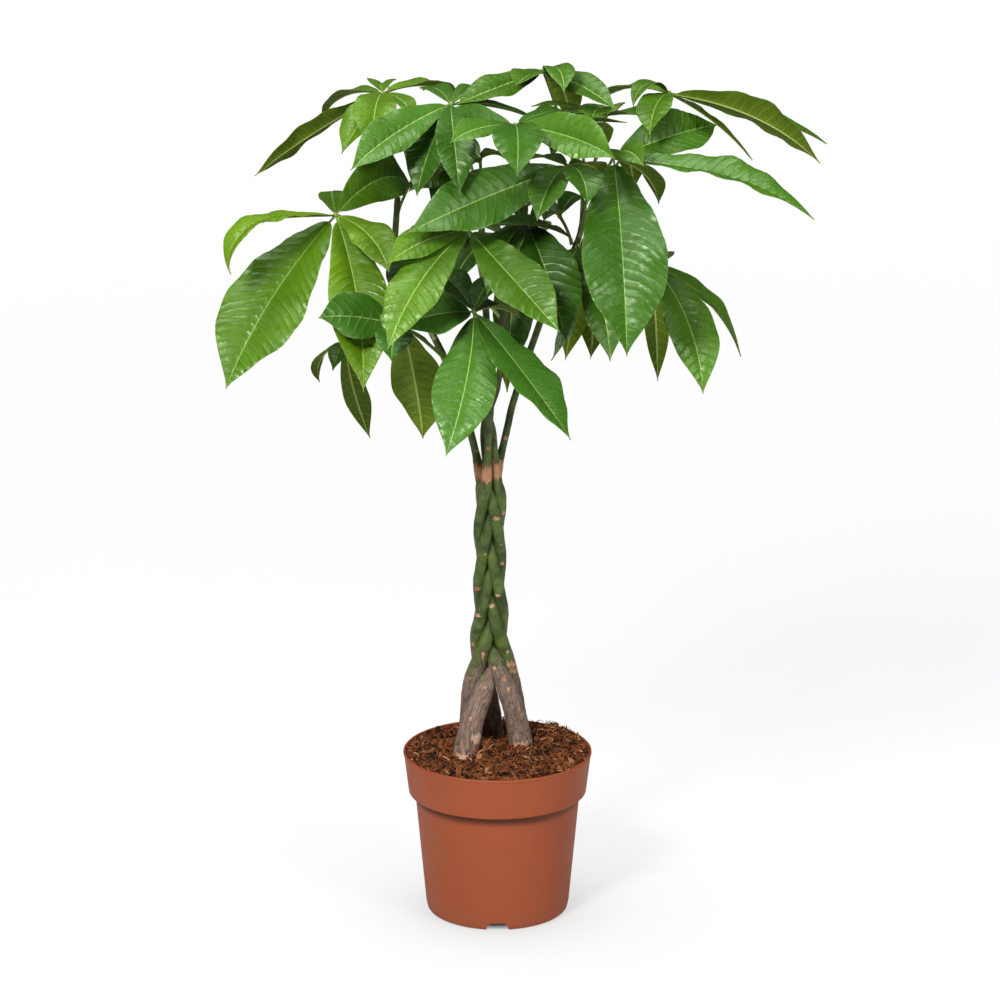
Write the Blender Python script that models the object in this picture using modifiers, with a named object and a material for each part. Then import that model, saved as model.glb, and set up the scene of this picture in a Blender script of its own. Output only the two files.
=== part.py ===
"""Potted money tree: five plaited stems with palmate leaves in a plastic nursery pot.

Blender 4.5, metres, +Z up. The origin is the centre of the pot's flat underside, and -Y is the front.
Lengths that are easier to read in millimetres are written as N * MM.
"""
import itertools
import math

import bmesh
import bpy
import numpy as np
from mathutils import Vector

MM = 0.001
GAP = 0.3 * MM

# Pot
POT_HEIGHT = 151 * MM
POT_RIM_RADIUS = 85 * MM
POT_BAND_HEIGHT = 39 * MM
POT_BAND_TAPER = 4.7 * MM
POT_WALL_TOP_RADIUS = 74.5 * MM
POT_FOOT_RADIUS = 64 * MM
POT_WALL = 2.2 * MM
POT_FLOOR = 3 * MM
POT_SIDES = 28
DRAIN_HOLES = 4
DRAIN_WIDTH = 18 * MM
DRAIN_HEIGHT = 5.6 * MM
DRAIN_REACH = 18 * MM

# Soil
SOIL_EDGE_DEPTH = 6 * MM
SOIL_CROWN = 8 * MM

# Plait of five stems
PLAIT_BOTTOM = 112 * MM
PLAIT_TOP = 400 * MM
PLAIT_PERIOD = 274 * MM
PLAIT_CROSSING = 396.5 * MM
PLAIT_CENTRE_X = -6.6 * MM
PLAIT_HALF_WIDTH = 9.8 * MM
PLAIT_DEPTH = 8.5 * MM
PLAIT_SKEW = 4.2 * MM
PLAIT_TOP_Y = 6 * MM
PLAIT_LEAN = 16 * MM
PLAIT_LEAN_OVER = 200 * MM
STRAND_RADIUS = 4.8 * MM
STRAND_SWELL = 0.75
SPREAD_FROM = 335 * MM
SPREAD_OVER = 115 * MM
FEET_FROM = 245 * MM
FEET_OVER = 85 * MM
STEM_TIP_RADIUS = 2.6 * MM
STEM_SIDES = 8
PLAIT_RINGS = 22
PLAIT_STEPS = 6
ROUTE_RINGS = 3

# Where each stem stands in the soil (x, y, radius), and its place in the plait's order
FEET = {
    "trunk_1": (1, -30, 3, 16.5),
    "trunk_2": (2, 19, 52, 12),
    "trunk_3": (4, -4, 46, 11),
    "trunk_4": (0, -24, 38, 12),
    "trunk_5": (3, 19.5, 19, 15.5),
}

# The free stems above the plait, in millimetres
ROUTES = {
    "trunk_1": [
        (-23, 8, 443), (-38, 14, 492), (-64, 22, 545), (-92, 30, 591), (-90, 34, 622), (-88, 36, 653)],
    "trunk_2": [(-8, -7, 445), (-6, -12, 481), (-9, -16, 546), (-13, -12, 608), (-14, -4, 655)],
    "trunk_3": [(-4, 2, 445), (-8, 7, 475), (2, 4, 541), (20, 0, 605), (35, -8, 661)],
    "trunk_4": [(-12, 22, 444), (0, 34, 482), (8, 46, 539), (13, 58, 589)],
    "trunk_5": [(8, 13, 445), (16, 17, 478), (42, 22, 554), (69, 26, 611), (77, 26, 644)],
}

# Leaves
LEAFLET_THICKNESS = 0.9 * MM
LEAFLET_FOLD = math.radians(12)
LEAFLET_SPANS = 5
LEAFLET_STALK_HALF_WIDTH = 0.6 * MM
LEAFLET_START = 1.2 * MM
LEAFLET_SHAPE = (1.2, 0.5, 0.85)
STEM_END_PLACE = 0.96
STALK_RADIUS = 1.3 * MM
KNOB_RADIUS = 2.4 * MM
DROOP_POWER = 1.4

# Each leaf: hub in millimetres, the stem it grows from, how far up that free stem, the lift of its stalk,
# and its leaflets as (heading, rise, droop, length, width, roll) in degrees and millimetres. A seventh
# number sets how late along the leaflet the droop comes.
LEAVES = {
    "leaf_01": ((-100, 20, 750), "trunk_1", 1.0, 0.1, [
        (215, -20, 6, 145, 32, 50), (140, 0, 60, 82, 28, 0), (90, 4, 30, 80, 26, 0), (35, 10, 50, 85, 28, 0),
        (245, -10, 45, 85, 34, 0), (265, 5, 60, 100, 38, 0), (300, 5, 40, 62, 18, 0)]),
    "leaf_02": ((-40, -50, 755), "trunk_2", 1.0, 0.1, [
        (225, -10, 20, 125, 38, -35), (240, -35, 40, 90, 36, 0), (65, 15, 30, 60, 22, 0),
        (110, 15, 40, 70, 26, 0), (275, -10, 70, 105, 34, 0), (25, -5, 25, 85, 22, 0)]),
    "leaf_03": ((-140, -40, 655), "trunk_1", 0.72, 0.1, [
        (225, 8, 125, 150, 36, 0, 4), (228, -36, 14, 190, 74, -22), (285, -35, 35, 172, 54, 0),
        (305, -6, 35, 95, 38, 10), (50, 35, 75, 110, 44, 60), (95, 15, 30, 75, 24, 0)]),
    "leaf_04": ((40, 20, 770), "trunk_5", 1.0, 0.1, [
        (225, -5, 8, 105, 32, -30), (40, -8, 50, 75, 26, 10), (310, 0, 30, 95, 30, 20),
        (250, 8, 20, 70, 28, 0), (285, 22, 60, 80, 26, 0), (65, -15, 80, 90, 30, 0)]),
    "leaf_05": ((150, 20, 750), "trunk_5", 0.95, 0.1, [
        (230, 40, 110, 62, 16, 0), (135, 5, 45, 90, 26, 0), (256, 6, 45, 90, 32, 0),
        (10, -15, 20, 152, 34, -5, 3), (330, -5, 28, 158, 36, -60), (315, -14, 25, 108, 28, -30)]),
    "leaf_06": ((100, -60, 710), "trunk_5", 0.85, 0.1, [
        (35, 15, 20, 115, 46, 45), (335, 1, 38, 190, 40, 15, 2), (275, -35, 45, 188, 74, 0),
        (290, 30, 60, 70, 26, 30), (75, 5, 90, 95, 30, 0), (45, -20, 50, 80, 26, 0)]),
    "leaf_07": ((15, -90, 745), "trunk_3", 1.0, 0.1, [
        (150, 5, 20, 80, 28, -40), (225, 10, 30, 78, 26, -20), (320, 0, 15, 112, 40, 40),
        (20, 0, 6, 100, 22, 0), (46, 16, 60, 90, 34, 0), (272, 10, 70, 88, 44, 0)]),
    "leaf_08": ((60, -70, 705), "trunk_3", 0.9, 0.1, [
        (210, -10, 12, 160, 52, -55), (285, 10, 60, 75, 34, 0), (250, 5, 70, 85, 34, 0),
        (55, 0, 50, 60, 26, 0), (125, 10, 40, 60, 24, 0)]),
    "leaf_09": ((-15, 30, 690), "trunk_2", 0.9, 0.1, [
        (128, 25, 40, 60, 28, 0), (230, 5, 30, 100, 38, -40),
        (240, 20, 50, 70, 34, -30), (300, 25, 60, 70, 30, 0)]),
    "leaf_10": ((95, 0, 735), "trunk_5", 0.9, 0.1, [
        (210, 20, 20, 78, 16, 0), (318, 14, 30, 66, 26, 0), (255, 30, 60, 60, 26, 0),
        (135, 10, 60, 60, 24, 0)]),
    "leaf_11": ((-25, -95, 655), "trunk_2", 0.7, 0.1, [
        (220, 0, 25, 92, 30, -45), (235, -15, 50, 145, 46, -10), (30, 5, 40, 108, 28, 10),
        (310, -25, 12, 135, 48, 25), (150, 5, 30, 60, 24, 0)]),
    "leaf_12": ((-20, -105, 585), "trunk_2", 0.45, 0.1, [
        (225, 10, 20, 92, 42, -45), (260, -35, 20, 145, 54, 0), (307, -26, 15, 158, 52, 0),
        (120, 25, 20, 84, 36, 0), (55, 0, 40, 70, 26, 0), (70, 30, 30, 60, 24, 0), (45, -40, 60, 90, 26, 0)]),
    "leaf_13": ((25, -40, 650), "trunk_3", 0.78, 0.1, [
        (290, -20, 60, 130, 52, 0), (325, -45, 80, 135, 38, 0), (245, -5, 70, 95, 34, 0),
        (110, 15, 40, 60, 26, 0)]),
    "leaf_14": ((70, -30, 625), "trunk_5", 0.72, 0.1, [
        (290, -25, 50, 120, 40, 0), (62, -50, 70, 115, 34, 0), (105, -62, 40, 112, 30, 0),
        (260, -10, 60, 100, 34, 0)]),
    "leaf_15": ((135, -15, 605), "trunk_5", 0.6, 0.1, [
        (297, -20, 60, 140, 46, 0), (25, -28, 45, 130, 28, 40), (75, -60, 50, 115, 22, 0),
        (80, 10, 60, 70, 26, 0), (260, -10, 60, 80, 28, 0)]),
    "leaf_16": ((-135, 20, 525), "trunk_1", 0.6, 0.1, [
        (155, -20, 90, 52, 24, 0), (65, -65, 5, 105, 24, 0), (60, -15, 60, 60, 24, 0),
        (260, 15, 80, 50, 20, 0)]),
    "leaf_17": ((-81, -116, 575), "trunk_1", 0.45, 0.1, [
        (205, 20, 20, 80, 46, -50), (260, 5, 50, 60, 32, 0), (60, -70, 5, 113, 50, -30),
        (10, -35, 30, 80, 36, 0)]),
    "leaf_18": ((55, 40, 635), "trunk_5", 0.8, 0.1, [
        (125, 20, 50, 50, 24, 0), (250, 30, 60, 40, 20, 0), (70, 25, 50, 60, 24, 0)]),
    "leaf_19": ((-60, 120, 675), "trunk_1", 0.93, 0.1, [
        (292, -20, 60, 110, 40, 0), (262, 25, 70, 95, 34, 0), (105, 15, 50, 90, 32, 0),
        (75, 20, 50, 90, 32, 0)]),
    "leaf_20": ((78, 120, 695), "trunk_5", 0.9, 0.1, [
        (250, 20, 60, 90, 34, 0), (80, 5, 90, 95, 34, 0), (108, 15, 50, 90, 32, 0), (68, 20, 50, 90, 32, 0)]),
    "leaf_21": ((5, 115, 600), "trunk_4", 0.9, 0.1, [
        (245, 15, 70, 110, 38, 0), (305, 5, 70, 110, 38, 0), (275, -45, 50, 130, 38, 0),
        (90, -20, 90, 110, 38, 0),
        (118, 10, 50, 90, 32, 0), (62, 10, 50, 90, 32, 0)]),
    "leaf_22": ((115, 98, 613), "trunk_5", 0.66, 0.1, [
        (245, 5, 60, 95, 34, 0), (285, -10, 70, 90, 34, 0), (90, -15, 90, 100, 34, 0),
        (95, 15, 50, 90, 32, 0)]),
    "leaf_23": ((-65, 60, 595), "trunk_4", 0.75, 0.1, [
        (255, 10, 60, 95, 34, 0), (285, 0, 70, 95, 34, 0), (90, -15, 90, 100, 34, 0),
        (110, 10, 50, 80, 30, 0), (68, 15, 50, 80, 30, 0)]),
}


# ---------------------------------------------------------------- scene helpers

def clear_scene():
    for obj in list(bpy.data.objects):
        bpy.data.objects.remove(obj, do_unlink=True)
    for collection in list(bpy.data.collections):
        bpy.data.collections.remove(collection)


def new_collection(name):
    collection = bpy.data.collections.new(name)
    bpy.context.scene.collection.children.link(collection)
    return collection


def material(name, colour, roughness):
    mat = bpy.data.materials.new(name)
    mat.use_nodes = True
    shader = mat.node_tree.nodes["Principled BSDF"]
    shader.inputs["Base Color"].default_value = (*colour, 1)
    shader.inputs["Roughness"].default_value = roughness
    shader.inputs["Metallic"].default_value = 0
    return mat


def add_object(name, mesh, collection, mat=None):
    obj = bpy.data.objects.new(name, mesh)
    collection.objects.link(obj)
    if mat:
        mesh.materials.clear()
        mesh.materials.append(mat)
    return obj


def bake_modifiers(obj):
    """Replace the object's mesh by its evaluated one."""
    bpy.context.view_layer.update()
    depsgraph = bpy.context.evaluated_depsgraph_get()
    mesh = bpy.data.meshes.new_from_object(obj.evaluated_get(depsgraph), depsgraph=depsgraph)
    obj.modifiers.clear()
    bm = bmesh.new()
    bm.from_mesh(mesh)
    bmesh.ops.dissolve_degenerate(bm, dist=0.000001, edges=bm.edges)
    bm.to_mesh(mesh)
    bm.free()
    obj.data = mesh


def shade(obj):
    obj.data.shade_smooth()
    obj.data.set_sharp_from_angle(angle=math.radians(40))


def turned(name, profile, sides, collection, mat):
    """A closed profile of (radius, height) turned round Z; it runs down its outer side."""
    mesh = bpy.data.meshes.new(name)
    points = [(r, 0, z) for r, z in profile]
    edges = [(i, i + 1) for i in range(len(points) - 1)]
    mesh.from_pydata(points, edges, [])
    obj = add_object(name, mesh, collection, mat)
    screw = obj.modifiers.new("Turn", "SCREW")
    screw.axis = "Z"
    screw.steps = sides
    screw.render_steps = sides
    screw.use_merge_vertices = True
    screw.merge_threshold = 0.00005
    return obj


def tube(name, points, radii, sides, collection, mat=None):
    """A tube along points, with a radius at each, made as a bevelled curve and turned to a closed mesh."""
    curve = bpy.data.curves.new(name, "CURVE")
    curve.dimensions = "3D"
    curve.bevel_depth = 1
    curve.bevel_resolution = (sides - 4) // 2
    curve.use_fill_caps = True
    spline = curve.splines.new("POLY")
    spline.points.add(len(points) - 1)
    for point, place, radius in zip(spline.points, points, radii):
        point.co = (*place, 1)
        point.radius = radius
    guide = bpy.data.objects.new(name + "_curve", curve)
    collection.objects.link(guide)
    bpy.context.view_layer.update()
    depsgraph = bpy.context.evaluated_depsgraph_get()
    mesh = bpy.data.meshes.new_from_object(guide.evaluated_get(depsgraph), depsgraph=depsgraph)
    bpy.data.objects.remove(guide, do_unlink=True)
    bm = bmesh.new()
    bm.from_mesh(mesh)
    bmesh.ops.remove_doubles(bm, verts=bm.verts, dist=0.00005)
    bmesh.ops.recalc_face_normals(bm, faces=bm.faces)
    bm.to_mesh(mesh)
    bm.free()
    return add_object(name, mesh, collection, mat)


def cut(obj, cutter):
    cutter.hide_render = True
    cutter.display_type = "WIRE"
    modifier = obj.modifiers.new("Cut " + cutter.name, "BOOLEAN")
    modifier.operation = "DIFFERENCE"
    modifier.object = cutter


# ---------------------------------------------------------------- pot

def pot_outside(height):
    """Outer radius of the pot's wall below the band."""
    band_bottom = POT_HEIGHT - POT_BAND_HEIGHT
    return POT_FOOT_RADIUS + (POT_WALL_TOP_RADIUS - POT_FOOT_RADIUS) * height / band_bottom


def make_pot(parts, cutters):
    """One moulding: tapered wall, wider band round the rim, flat floor with drain holes at its edge."""
    mat = material("terracotta_plastic", (0.40, 0.105, 0.042), 0.45)
    band_bottom = POT_HEIGHT - POT_BAND_HEIGHT
    band_low_radius = POT_RIM_RADIUS - POT_BAND_TAPER
    ledge = band_bottom + POT_WALL
    outside = [
        (POT_RIM_RADIUS - 0.8 * MM, POT_HEIGHT),
        (POT_RIM_RADIUS, POT_HEIGHT - 0.8 * MM),
        (band_low_radius, band_bottom + 1.5 * MM),
        (band_low_radius - 1.5 * MM, band_bottom),
        (POT_WALL_TOP_RADIUS + 1 * MM, band_bottom),
        (pot_outside(band_bottom - 1 * MM), band_bottom - 1 * MM),
        (pot_outside(5 * MM), 5 * MM),
        (pot_outside(0) - 1.2 * MM, 1.5 * MM),
        (pot_outside(0) - 4 * MM, 0),
        (0, 0),
    ]
    inside = [
        (0, POT_FLOOR),
        (pot_outside(0) - 6 * MM, POT_FLOOR),
        (pot_outside(7 * MM) - POT_WALL, 7 * MM),
        (pot_outside(band_bottom) - POT_WALL, ledge - 1 * MM),
        (POT_WALL_TOP_RADIUS + 0.5 * MM, ledge),
        (band_low_radius - POT_WALL - 1 * MM, ledge),
        (band_low_radius - POT_WALL, ledge + 1 * MM),
        (POT_RIM_RADIUS - POT_WALL, POT_HEIGHT - 0.5 * MM),
        (POT_RIM_RADIUS - POT_WALL + 0.5 * MM, POT_HEIGHT),
        (POT_RIM_RADIUS - 0.8 * MM, POT_HEIGHT),
    ]
    pot = turned("pot", outside + inside, POT_SIDES, parts, mat)
    for i in range(DRAIN_HOLES):
        angle = math.radians(-90 + 360 / DRAIN_HOLES * i)
        bpy.ops.mesh.primitive_cube_add(size=1)
        slot = bpy.context.object
        slot.name = f"drain_{i}"
        for collection in list(slot.users_collection):
            collection.objects.unlink(slot)
        cutters.objects.link(slot)
        reach = pot_outside(0) - 4 * MM
        slot.location = (reach * math.cos(angle), reach * math.sin(angle), 0)
        slot.rotation_euler = (0, 0, angle)
        slot.scale = (DRAIN_REACH, DRAIN_WIDTH, 2 * DRAIN_HEIGHT)
        cut(pot, slot)
    bake_modifiers(pot)
    shade(pot)
    return pot


# ---------------------------------------------------------------- soil

def make_soil(parts, cutters, trunks):
    """The filling of coir and bark, domed a little towards the stems, with a plain hole for each stem."""
    mat = material("coir", (0.12, 0.045, 0.02), 0.95)
    band_bottom = POT_HEIGHT - POT_BAND_HEIGHT
    ledge = band_bottom + POT_WALL + GAP
    inner = POT_WALL + GAP
    band_low = POT_RIM_RADIUS - POT_BAND_TAPER - inner
    edge = POT_HEIGHT - SOIL_EDGE_DEPTH
    edge_radius = band_low + POT_BAND_TAPER * (edge - ledge) / (POT_HEIGHT - ledge) - 0.3 * MM
    dome = []
    for i in range(6):
        radius = edge_radius * i / 6
        dome.append((radius, edge + SOIL_CROWN * (1 - (radius / edge_radius) ** 2)))
    side = [
        (edge_radius, edge),
        (band_low, ledge + 2 * MM),
        (band_low - 2 * MM, ledge),
        (POT_WALL_TOP_RADIUS - inner, ledge),
        (pot_outside(band_bottom) - inner - 0.5 * MM, ledge - 3 * MM),
        (pot_outside(8 * MM) - inner - 0.3 * MM, 8 * MM),
        (pot_outside(0) - 7 * MM, POT_FLOOR + GAP),
        (0, POT_FLOOR + GAP),
    ]
    soil = turned("soil", dome + side, POT_SIDES, parts, mat)
    for name, (points, radii) in trunks.items():
        sunk = points[:, 2] < edge + 3 * SOIL_CROWN
        line = points[sunk]
        line[0, 2] -= 2 * GAP
        hole = tube(name + "_hole", line, radii[sunk] + 2 * GAP, STEM_SIDES, cutters)
        cut(soil, hole)
    bake_modifiers(soil)
    shade(soil)
    return soil


# ---------------------------------------------------------------- stems

def smooth_step(value):
    value = np.clip(value, 0, 1)
    return value * value * (3 - 2 * value)


def plait_lines():
    """Centre lines of the five strands: a figure of eight in plan that climbs, opening out to five feet.

    The strands are then pushed apart until none runs through another.
    """
    height = np.linspace(PLAIT_BOTTOM, PLAIT_TOP, PLAIT_RINGS * PLAIT_STEPS + 1)
    spread = np.clip((SPREAD_FROM - height) / SPREAD_OVER, 0, 1.2) ** 2
    footing = smooth_step((FEET_FROM - height) / FEET_OVER)
    depth = PLAIT_TOP_Y + PLAIT_LEAN * np.clip((PLAIT_TOP - height) / PLAIT_LEAN_OVER, 0, 1)
    places = {}
    radii = {}
    for name, (order, foot_x, foot_y, foot_radius) in FEET.items():
        turn = math.pi + 2 * math.pi * ((height - PLAIT_CROSSING) / PLAIT_PERIOD + order / 5)
        x = PLAIT_CENTRE_X + PLAIT_HALF_WIDTH * (1 + spread) * np.sin(turn)
        y = depth + (PLAIT_DEPTH * np.sin(2 * turn) + PLAIT_SKEW * np.sin(4 * turn)) * (1 + spread)
        x = x * (1 - footing) + foot_x * MM * footing
        y = y * (1 - footing) + foot_y * MM * footing
        places[name] = np.stack([x, y], axis=1)
        thick = footing ** 2
        strand_radius = STRAND_RADIUS * (1 + STRAND_SWELL * spread)
        radii[name] = strand_radius * (1 - thick) + foot_radius * MM * thick
    relax(places, radii, height)
    lines = {}
    for name, place in places.items():
        lines[name] = (np.column_stack([place, height]), radii[name])
    return lines


def relax(places, radii, height, rounds=400, settle=10):
    """Push the strands clear of one another, more in depth than in width, and keep them smooth."""
    favour = np.array([0.5, 1.3])
    for turn in range(rounds):
        for first, second in itertools.combinations(places, 2):
            apart = places[second] - places[first]
            distance = np.linalg.norm(apart, axis=1) + 1e-9
            lean = np.gradient(places[first], height, axis=0) - np.gradient(places[second], height, axis=0)
            slant = np.minimum(np.sqrt(1 + 0.25 * np.sum(lean ** 2, axis=1)), 1.25)
            wanted = (radii[first] + radii[second] + 3 * GAP) * slant
            push = np.clip(wanted - distance, 0, None) / 2
            step = apart / distance[:, None] * push[:, None] * favour
            places[first] -= step
            places[second] += step
        if turn < rounds - settle:
            for place in places.values():
                place[1:-1] += 0.3 * (place[2:] + place[:-2] - 2 * place[1:-1])


def spline_through(points, per_span):
    """Catmull-Rom spline through points."""
    points = np.asarray(points, float)
    padded = np.vstack([2 * points[0] - points[1], points, 2 * points[-1] - points[-2]])
    line = []
    for a, b, c, d in zip(padded[:-3], padded[1:-2], padded[2:-1], padded[3:]):
        for t in np.linspace(0, 1, per_span, endpoint=False):
            line.append(0.5 * (2 * b + (c - a) * t + (2 * a - 5 * b + 4 * c - d) * t ** 2
                               + (3 * b - 3 * c + d - a) * t ** 3))
    line.append(points[-1])
    return np.array(line)


def stem_lines():
    """Each whole stem's centre line and radii, and its free upper part by itself."""
    whole = {}
    free = {}
    for name, (points, radii) in plait_lines().items():
        plaited = points[::PLAIT_STEPS]
        route = np.vstack([plaited[-2:], np.array(ROUTES[name]) * MM])
        upper = spline_through(route, ROUTE_RINGS)[ROUTE_RINGS:]
        upper_radii = np.linspace(radii[-1], STEM_TIP_RADIUS, len(upper))
        whole_radii = np.concatenate([radii[::PLAIT_STEPS], upper_radii[1:]])
        whole[name] = (np.vstack([plaited, upper[1:]]), whole_radii)
        free[name] = (upper, upper_radii)
    return whole, free


def make_trunks(parts, lines):
    mat = material("young_bark", (0.09, 0.11, 0.035), 0.7)
    for name, (points, radii) in lines.items():
        trunk = tube(name, points, radii, STEM_SIDES, parts, mat)
        shade(trunk)


# ---------------------------------------------------------------- leaves

def midrib(length, heading, rise, droop, late, steps=48):
    """Points and directions along a leaflet that sets out at a rise and droops towards its tip."""
    middle = (np.arange(steps) + 0.5) / steps
    slope = np.radians(rise - droop * middle ** late)
    along = np.stack([np.cos(slope) * math.cos(heading), np.cos(slope) * math.sin(heading),
                      np.sin(slope)], axis=1)
    points = np.vstack([[0, 0, 0], np.cumsum(along, axis=0)]) * length / steps
    end_slope = np.radians(rise - droop * (np.arange(steps + 1) / steps) ** late)
    directions = np.stack([np.cos(end_slope) * math.cos(heading), np.cos(end_slope) * math.sin(heading),
                           np.sin(end_slope)], axis=1)
    return points, directions


def half_width(place, width):
    """Half the blade's width: a wedge at the stalk, widest past the middle, drawn out to a point."""
    skew, blunt, sharpen = LEAFLET_SHAPE
    run = np.clip((place - 0.04) / 0.96, 0, 0.9999)
    shape = np.sin(math.pi * run ** skew) ** (blunt + sharpen * run)
    return np.maximum(width / 2 * shape, LEAFLET_STALK_HALF_WIDTH)


def make_leaflet(name, hub, leaflet, collection):
    """A thin blade folded a little along its midrib."""
    heading, rise, droop, length, width, roll, *late = leaflet
    heading = math.radians(heading)
    points, directions = midrib(length * MM, heading, rise, droop, late[0] if late else DROOP_POWER)
    steps = len(points) - 1
    side = np.array([-math.sin(heading), math.cos(heading), 0])
    root = np.array(hub) * MM + directions[0] * LEAFLET_START
    bm = bmesh.new()
    bmesh.ops.create_grid(bm, x_segments=LEAFLET_SPANS, y_segments=2, size=0.5)
    bmesh.ops.triangulate(bm, faces=bm.faces)
    for vert in bm.verts:
        place = vert.co.x + 0.5
        across = vert.co.y * 2
        index = round(place * steps)
        up = np.cross(directions[index], side)
        lean = side * math.cos(math.radians(roll)) + up * math.sin(math.radians(roll))
        normal = np.cross(directions[index], lean)
        reach = half_width(place, width * MM) * across
        fold = lean * reach * math.cos(LEAFLET_FOLD) + normal * abs(reach) * math.sin(LEAFLET_FOLD)
        vert.co = Vector(root + points[index] + fold)
    mesh = bpy.data.meshes.new(name)
    bm.to_mesh(mesh)
    bm.free()
    obj = add_object(name, mesh, collection)
    solidify = obj.modifiers.new("Thickness", "SOLIDIFY")
    solidify.thickness = LEAFLET_THICKNESS
    solidify.offset = 0
    return obj


def stalk_line(hub, line, radii, place, lift, steps=5):
    """The leaf's own stalk: from just off its stem, or off the stem's end, out and up to the hub."""
    spot = place * (len(line) - 1)
    low = min(int(spot), len(line) - 2)
    seat = line[low] + (line[low + 1] - line[low]) * (spot - low)
    along = line[low + 1] - line[low]
    along /= np.linalg.norm(along)
    hub = np.array(hub) * MM
    reach = hub - seat
    bend = seat + 0.45 * reach + np.array([0, 0, lift * np.linalg.norm(reach)])
    heading = (bend - seat) / np.linalg.norm(bend - seat)
    if place > STEM_END_PLACE:
        away = along
        clear = GAP
    else:
        away = heading - along * (heading @ along)
        away /= np.linalg.norm(away)
        clear = GAP + radii[low] + (radii[low + 1] - radii[low]) * (spot - low)
    lean = math.sqrt(max(0, 1 - (away @ heading) ** 2))
    start = seat + away * (clear + STALK_RADIUS * lean)
    t = np.linspace(0, 1, steps)[:, None]
    return (1 - t) ** 2 * start + 2 * t * (1 - t) * bend + t ** 2 * hub


def make_leaf(name, parts, lines, mat):
    """A palmate leaf: stalk, the knob at its end and the leaflets round it, grown together."""
    hub, stem, place, lift, leaflets = LEAVES[name]
    pieces = new_collection(name + "_pieces")
    line = stalk_line(hub, *lines[stem], place, lift)
    stalk = tube(name, line, [STALK_RADIUS] * len(line), 6, parts, mat)
    centre = Vector(hub) * MM
    bpy.ops.mesh.primitive_uv_sphere_add(segments=6, ring_count=3, radius=KNOB_RADIUS, location=centre)
    knob = bpy.context.object
    for collection in list(knob.users_collection):
        collection.objects.unlink(knob)
    pieces.objects.link(knob)
    for i, leaflet in enumerate(leaflets):
        make_leaflet(f"{name}_{i}", hub, leaflet, pieces)
    union = stalk.modifiers.new("Grown together", "BOOLEAN")
    union.operation = "UNION"
    union.operand_type = "COLLECTION"
    union.collection = pieces
    union.solver = "MANIFOLD"
    bake_modifiers(stalk)
    for piece in list(pieces.objects):
        bpy.data.objects.remove(piece, do_unlink=True)
    bpy.data.collections.remove(pieces)
    stalk.data.materials.clear()
    stalk.data.materials.append(mat)
    shade(stalk)
    return stalk


def make_leaves(parts, lines):
    mat = material("leaf", (0.08, 0.22, 0.03), 0.4)
    for name in LEAVES:
        make_leaf(name, parts, lines, mat)


clear_scene()
parts = new_collection("potted_money_tree")
cutters = new_collection("cutters")
whole_stems, free_stems = stem_lines()
make_pot(parts, cutters)
make_soil(parts, cutters, whole_stems)
make_trunks(parts, whole_stems)
make_leaves(parts, free_stems)
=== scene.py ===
import math

import bmesh
import bpy
import numpy as np
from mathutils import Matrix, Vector, noise


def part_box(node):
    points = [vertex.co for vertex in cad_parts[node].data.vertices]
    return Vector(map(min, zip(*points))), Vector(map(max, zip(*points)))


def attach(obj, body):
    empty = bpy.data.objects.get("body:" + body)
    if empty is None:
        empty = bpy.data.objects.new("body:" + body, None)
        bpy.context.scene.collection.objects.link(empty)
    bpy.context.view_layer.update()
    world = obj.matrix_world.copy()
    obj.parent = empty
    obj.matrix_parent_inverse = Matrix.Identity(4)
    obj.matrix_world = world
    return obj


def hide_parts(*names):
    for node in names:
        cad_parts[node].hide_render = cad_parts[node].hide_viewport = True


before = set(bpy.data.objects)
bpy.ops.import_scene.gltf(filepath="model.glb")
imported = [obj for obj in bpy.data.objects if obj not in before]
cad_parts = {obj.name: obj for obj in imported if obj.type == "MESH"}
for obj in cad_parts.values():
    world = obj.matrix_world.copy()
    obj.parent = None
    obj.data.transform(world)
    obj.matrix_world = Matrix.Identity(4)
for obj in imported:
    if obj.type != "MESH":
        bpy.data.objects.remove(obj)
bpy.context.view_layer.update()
MM = 0.001


# ---------------------------------------------------------------- pot
# The pot is one injection moulding in terracotta-coloured polypropylene, about 2 mm thick: a tapered
# wall, a wider band round the rim that lets pots stack, and drain slots cut into the edge of its floor.

POT_SIDES = 144
POT_WALL = 2.2 * MM
POT_FLOOR = 11 * MM
FLOOR_CORNER = 4 * MM
FOOT_RADIUS = 64 * MM
FOOT_ROUND = 5 * MM
WALL_TOP_RADIUS = 74.5 * MM
BAND_HEIGHT = 38.6 * MM
BAND_TAPER = 4.7 * MM
BAND_ROUND = (1.8 * MM, 1.6 * MM)
# The lip stands out from the band, and its undercut runs up between these two depths below the rim
LIP = 0.6 * MM
LIP_DEPTHS = (2.6 * MM, 2.2 * MM)
LIP_INSIDE = 6 * MM
# The hollow underneath: radius at its top and at its mouth, and its height
UNDERSIDE = (59.5 * MM, 57.5 * MM, 5.6 * MM)
DRAIN_SLOTS = 4
DRAIN_WIDTH = (21.5 * MM, 17 * MM)
DRAIN_HEIGHT = 7.6 * MM
DRAIN_REACH = 9 * MM
DRAIN_CORNER = (3.4 * MM, 1.6 * MM)
# The wall is painted darker under the ledge, a painted shadow: how far below it that starts and is full,
# and how dark it gets
LEDGE_PAINTED_SHADOW = (11.5 * MM, 4.5 * MM, 0.72)

pot_low, pot_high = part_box("pot")
pot_height = pot_high[2]
rim_radius = (pot_high[0] - pot_low[0]) / 2


def put(tree, kind, inputs=None, **settings):
    """Adds a node, sets its options, and fills its inputs with values or links."""
    made = tree.nodes.new(kind)
    for name, value in settings.items():
        setattr(made, name, value)
    for key, value in (inputs or {}).items():
        if isinstance(value, bpy.types.NodeSocket):
            tree.links.new(value, made.inputs[key])
        else:
            made.inputs[key].default_value = value
    return made


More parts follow.
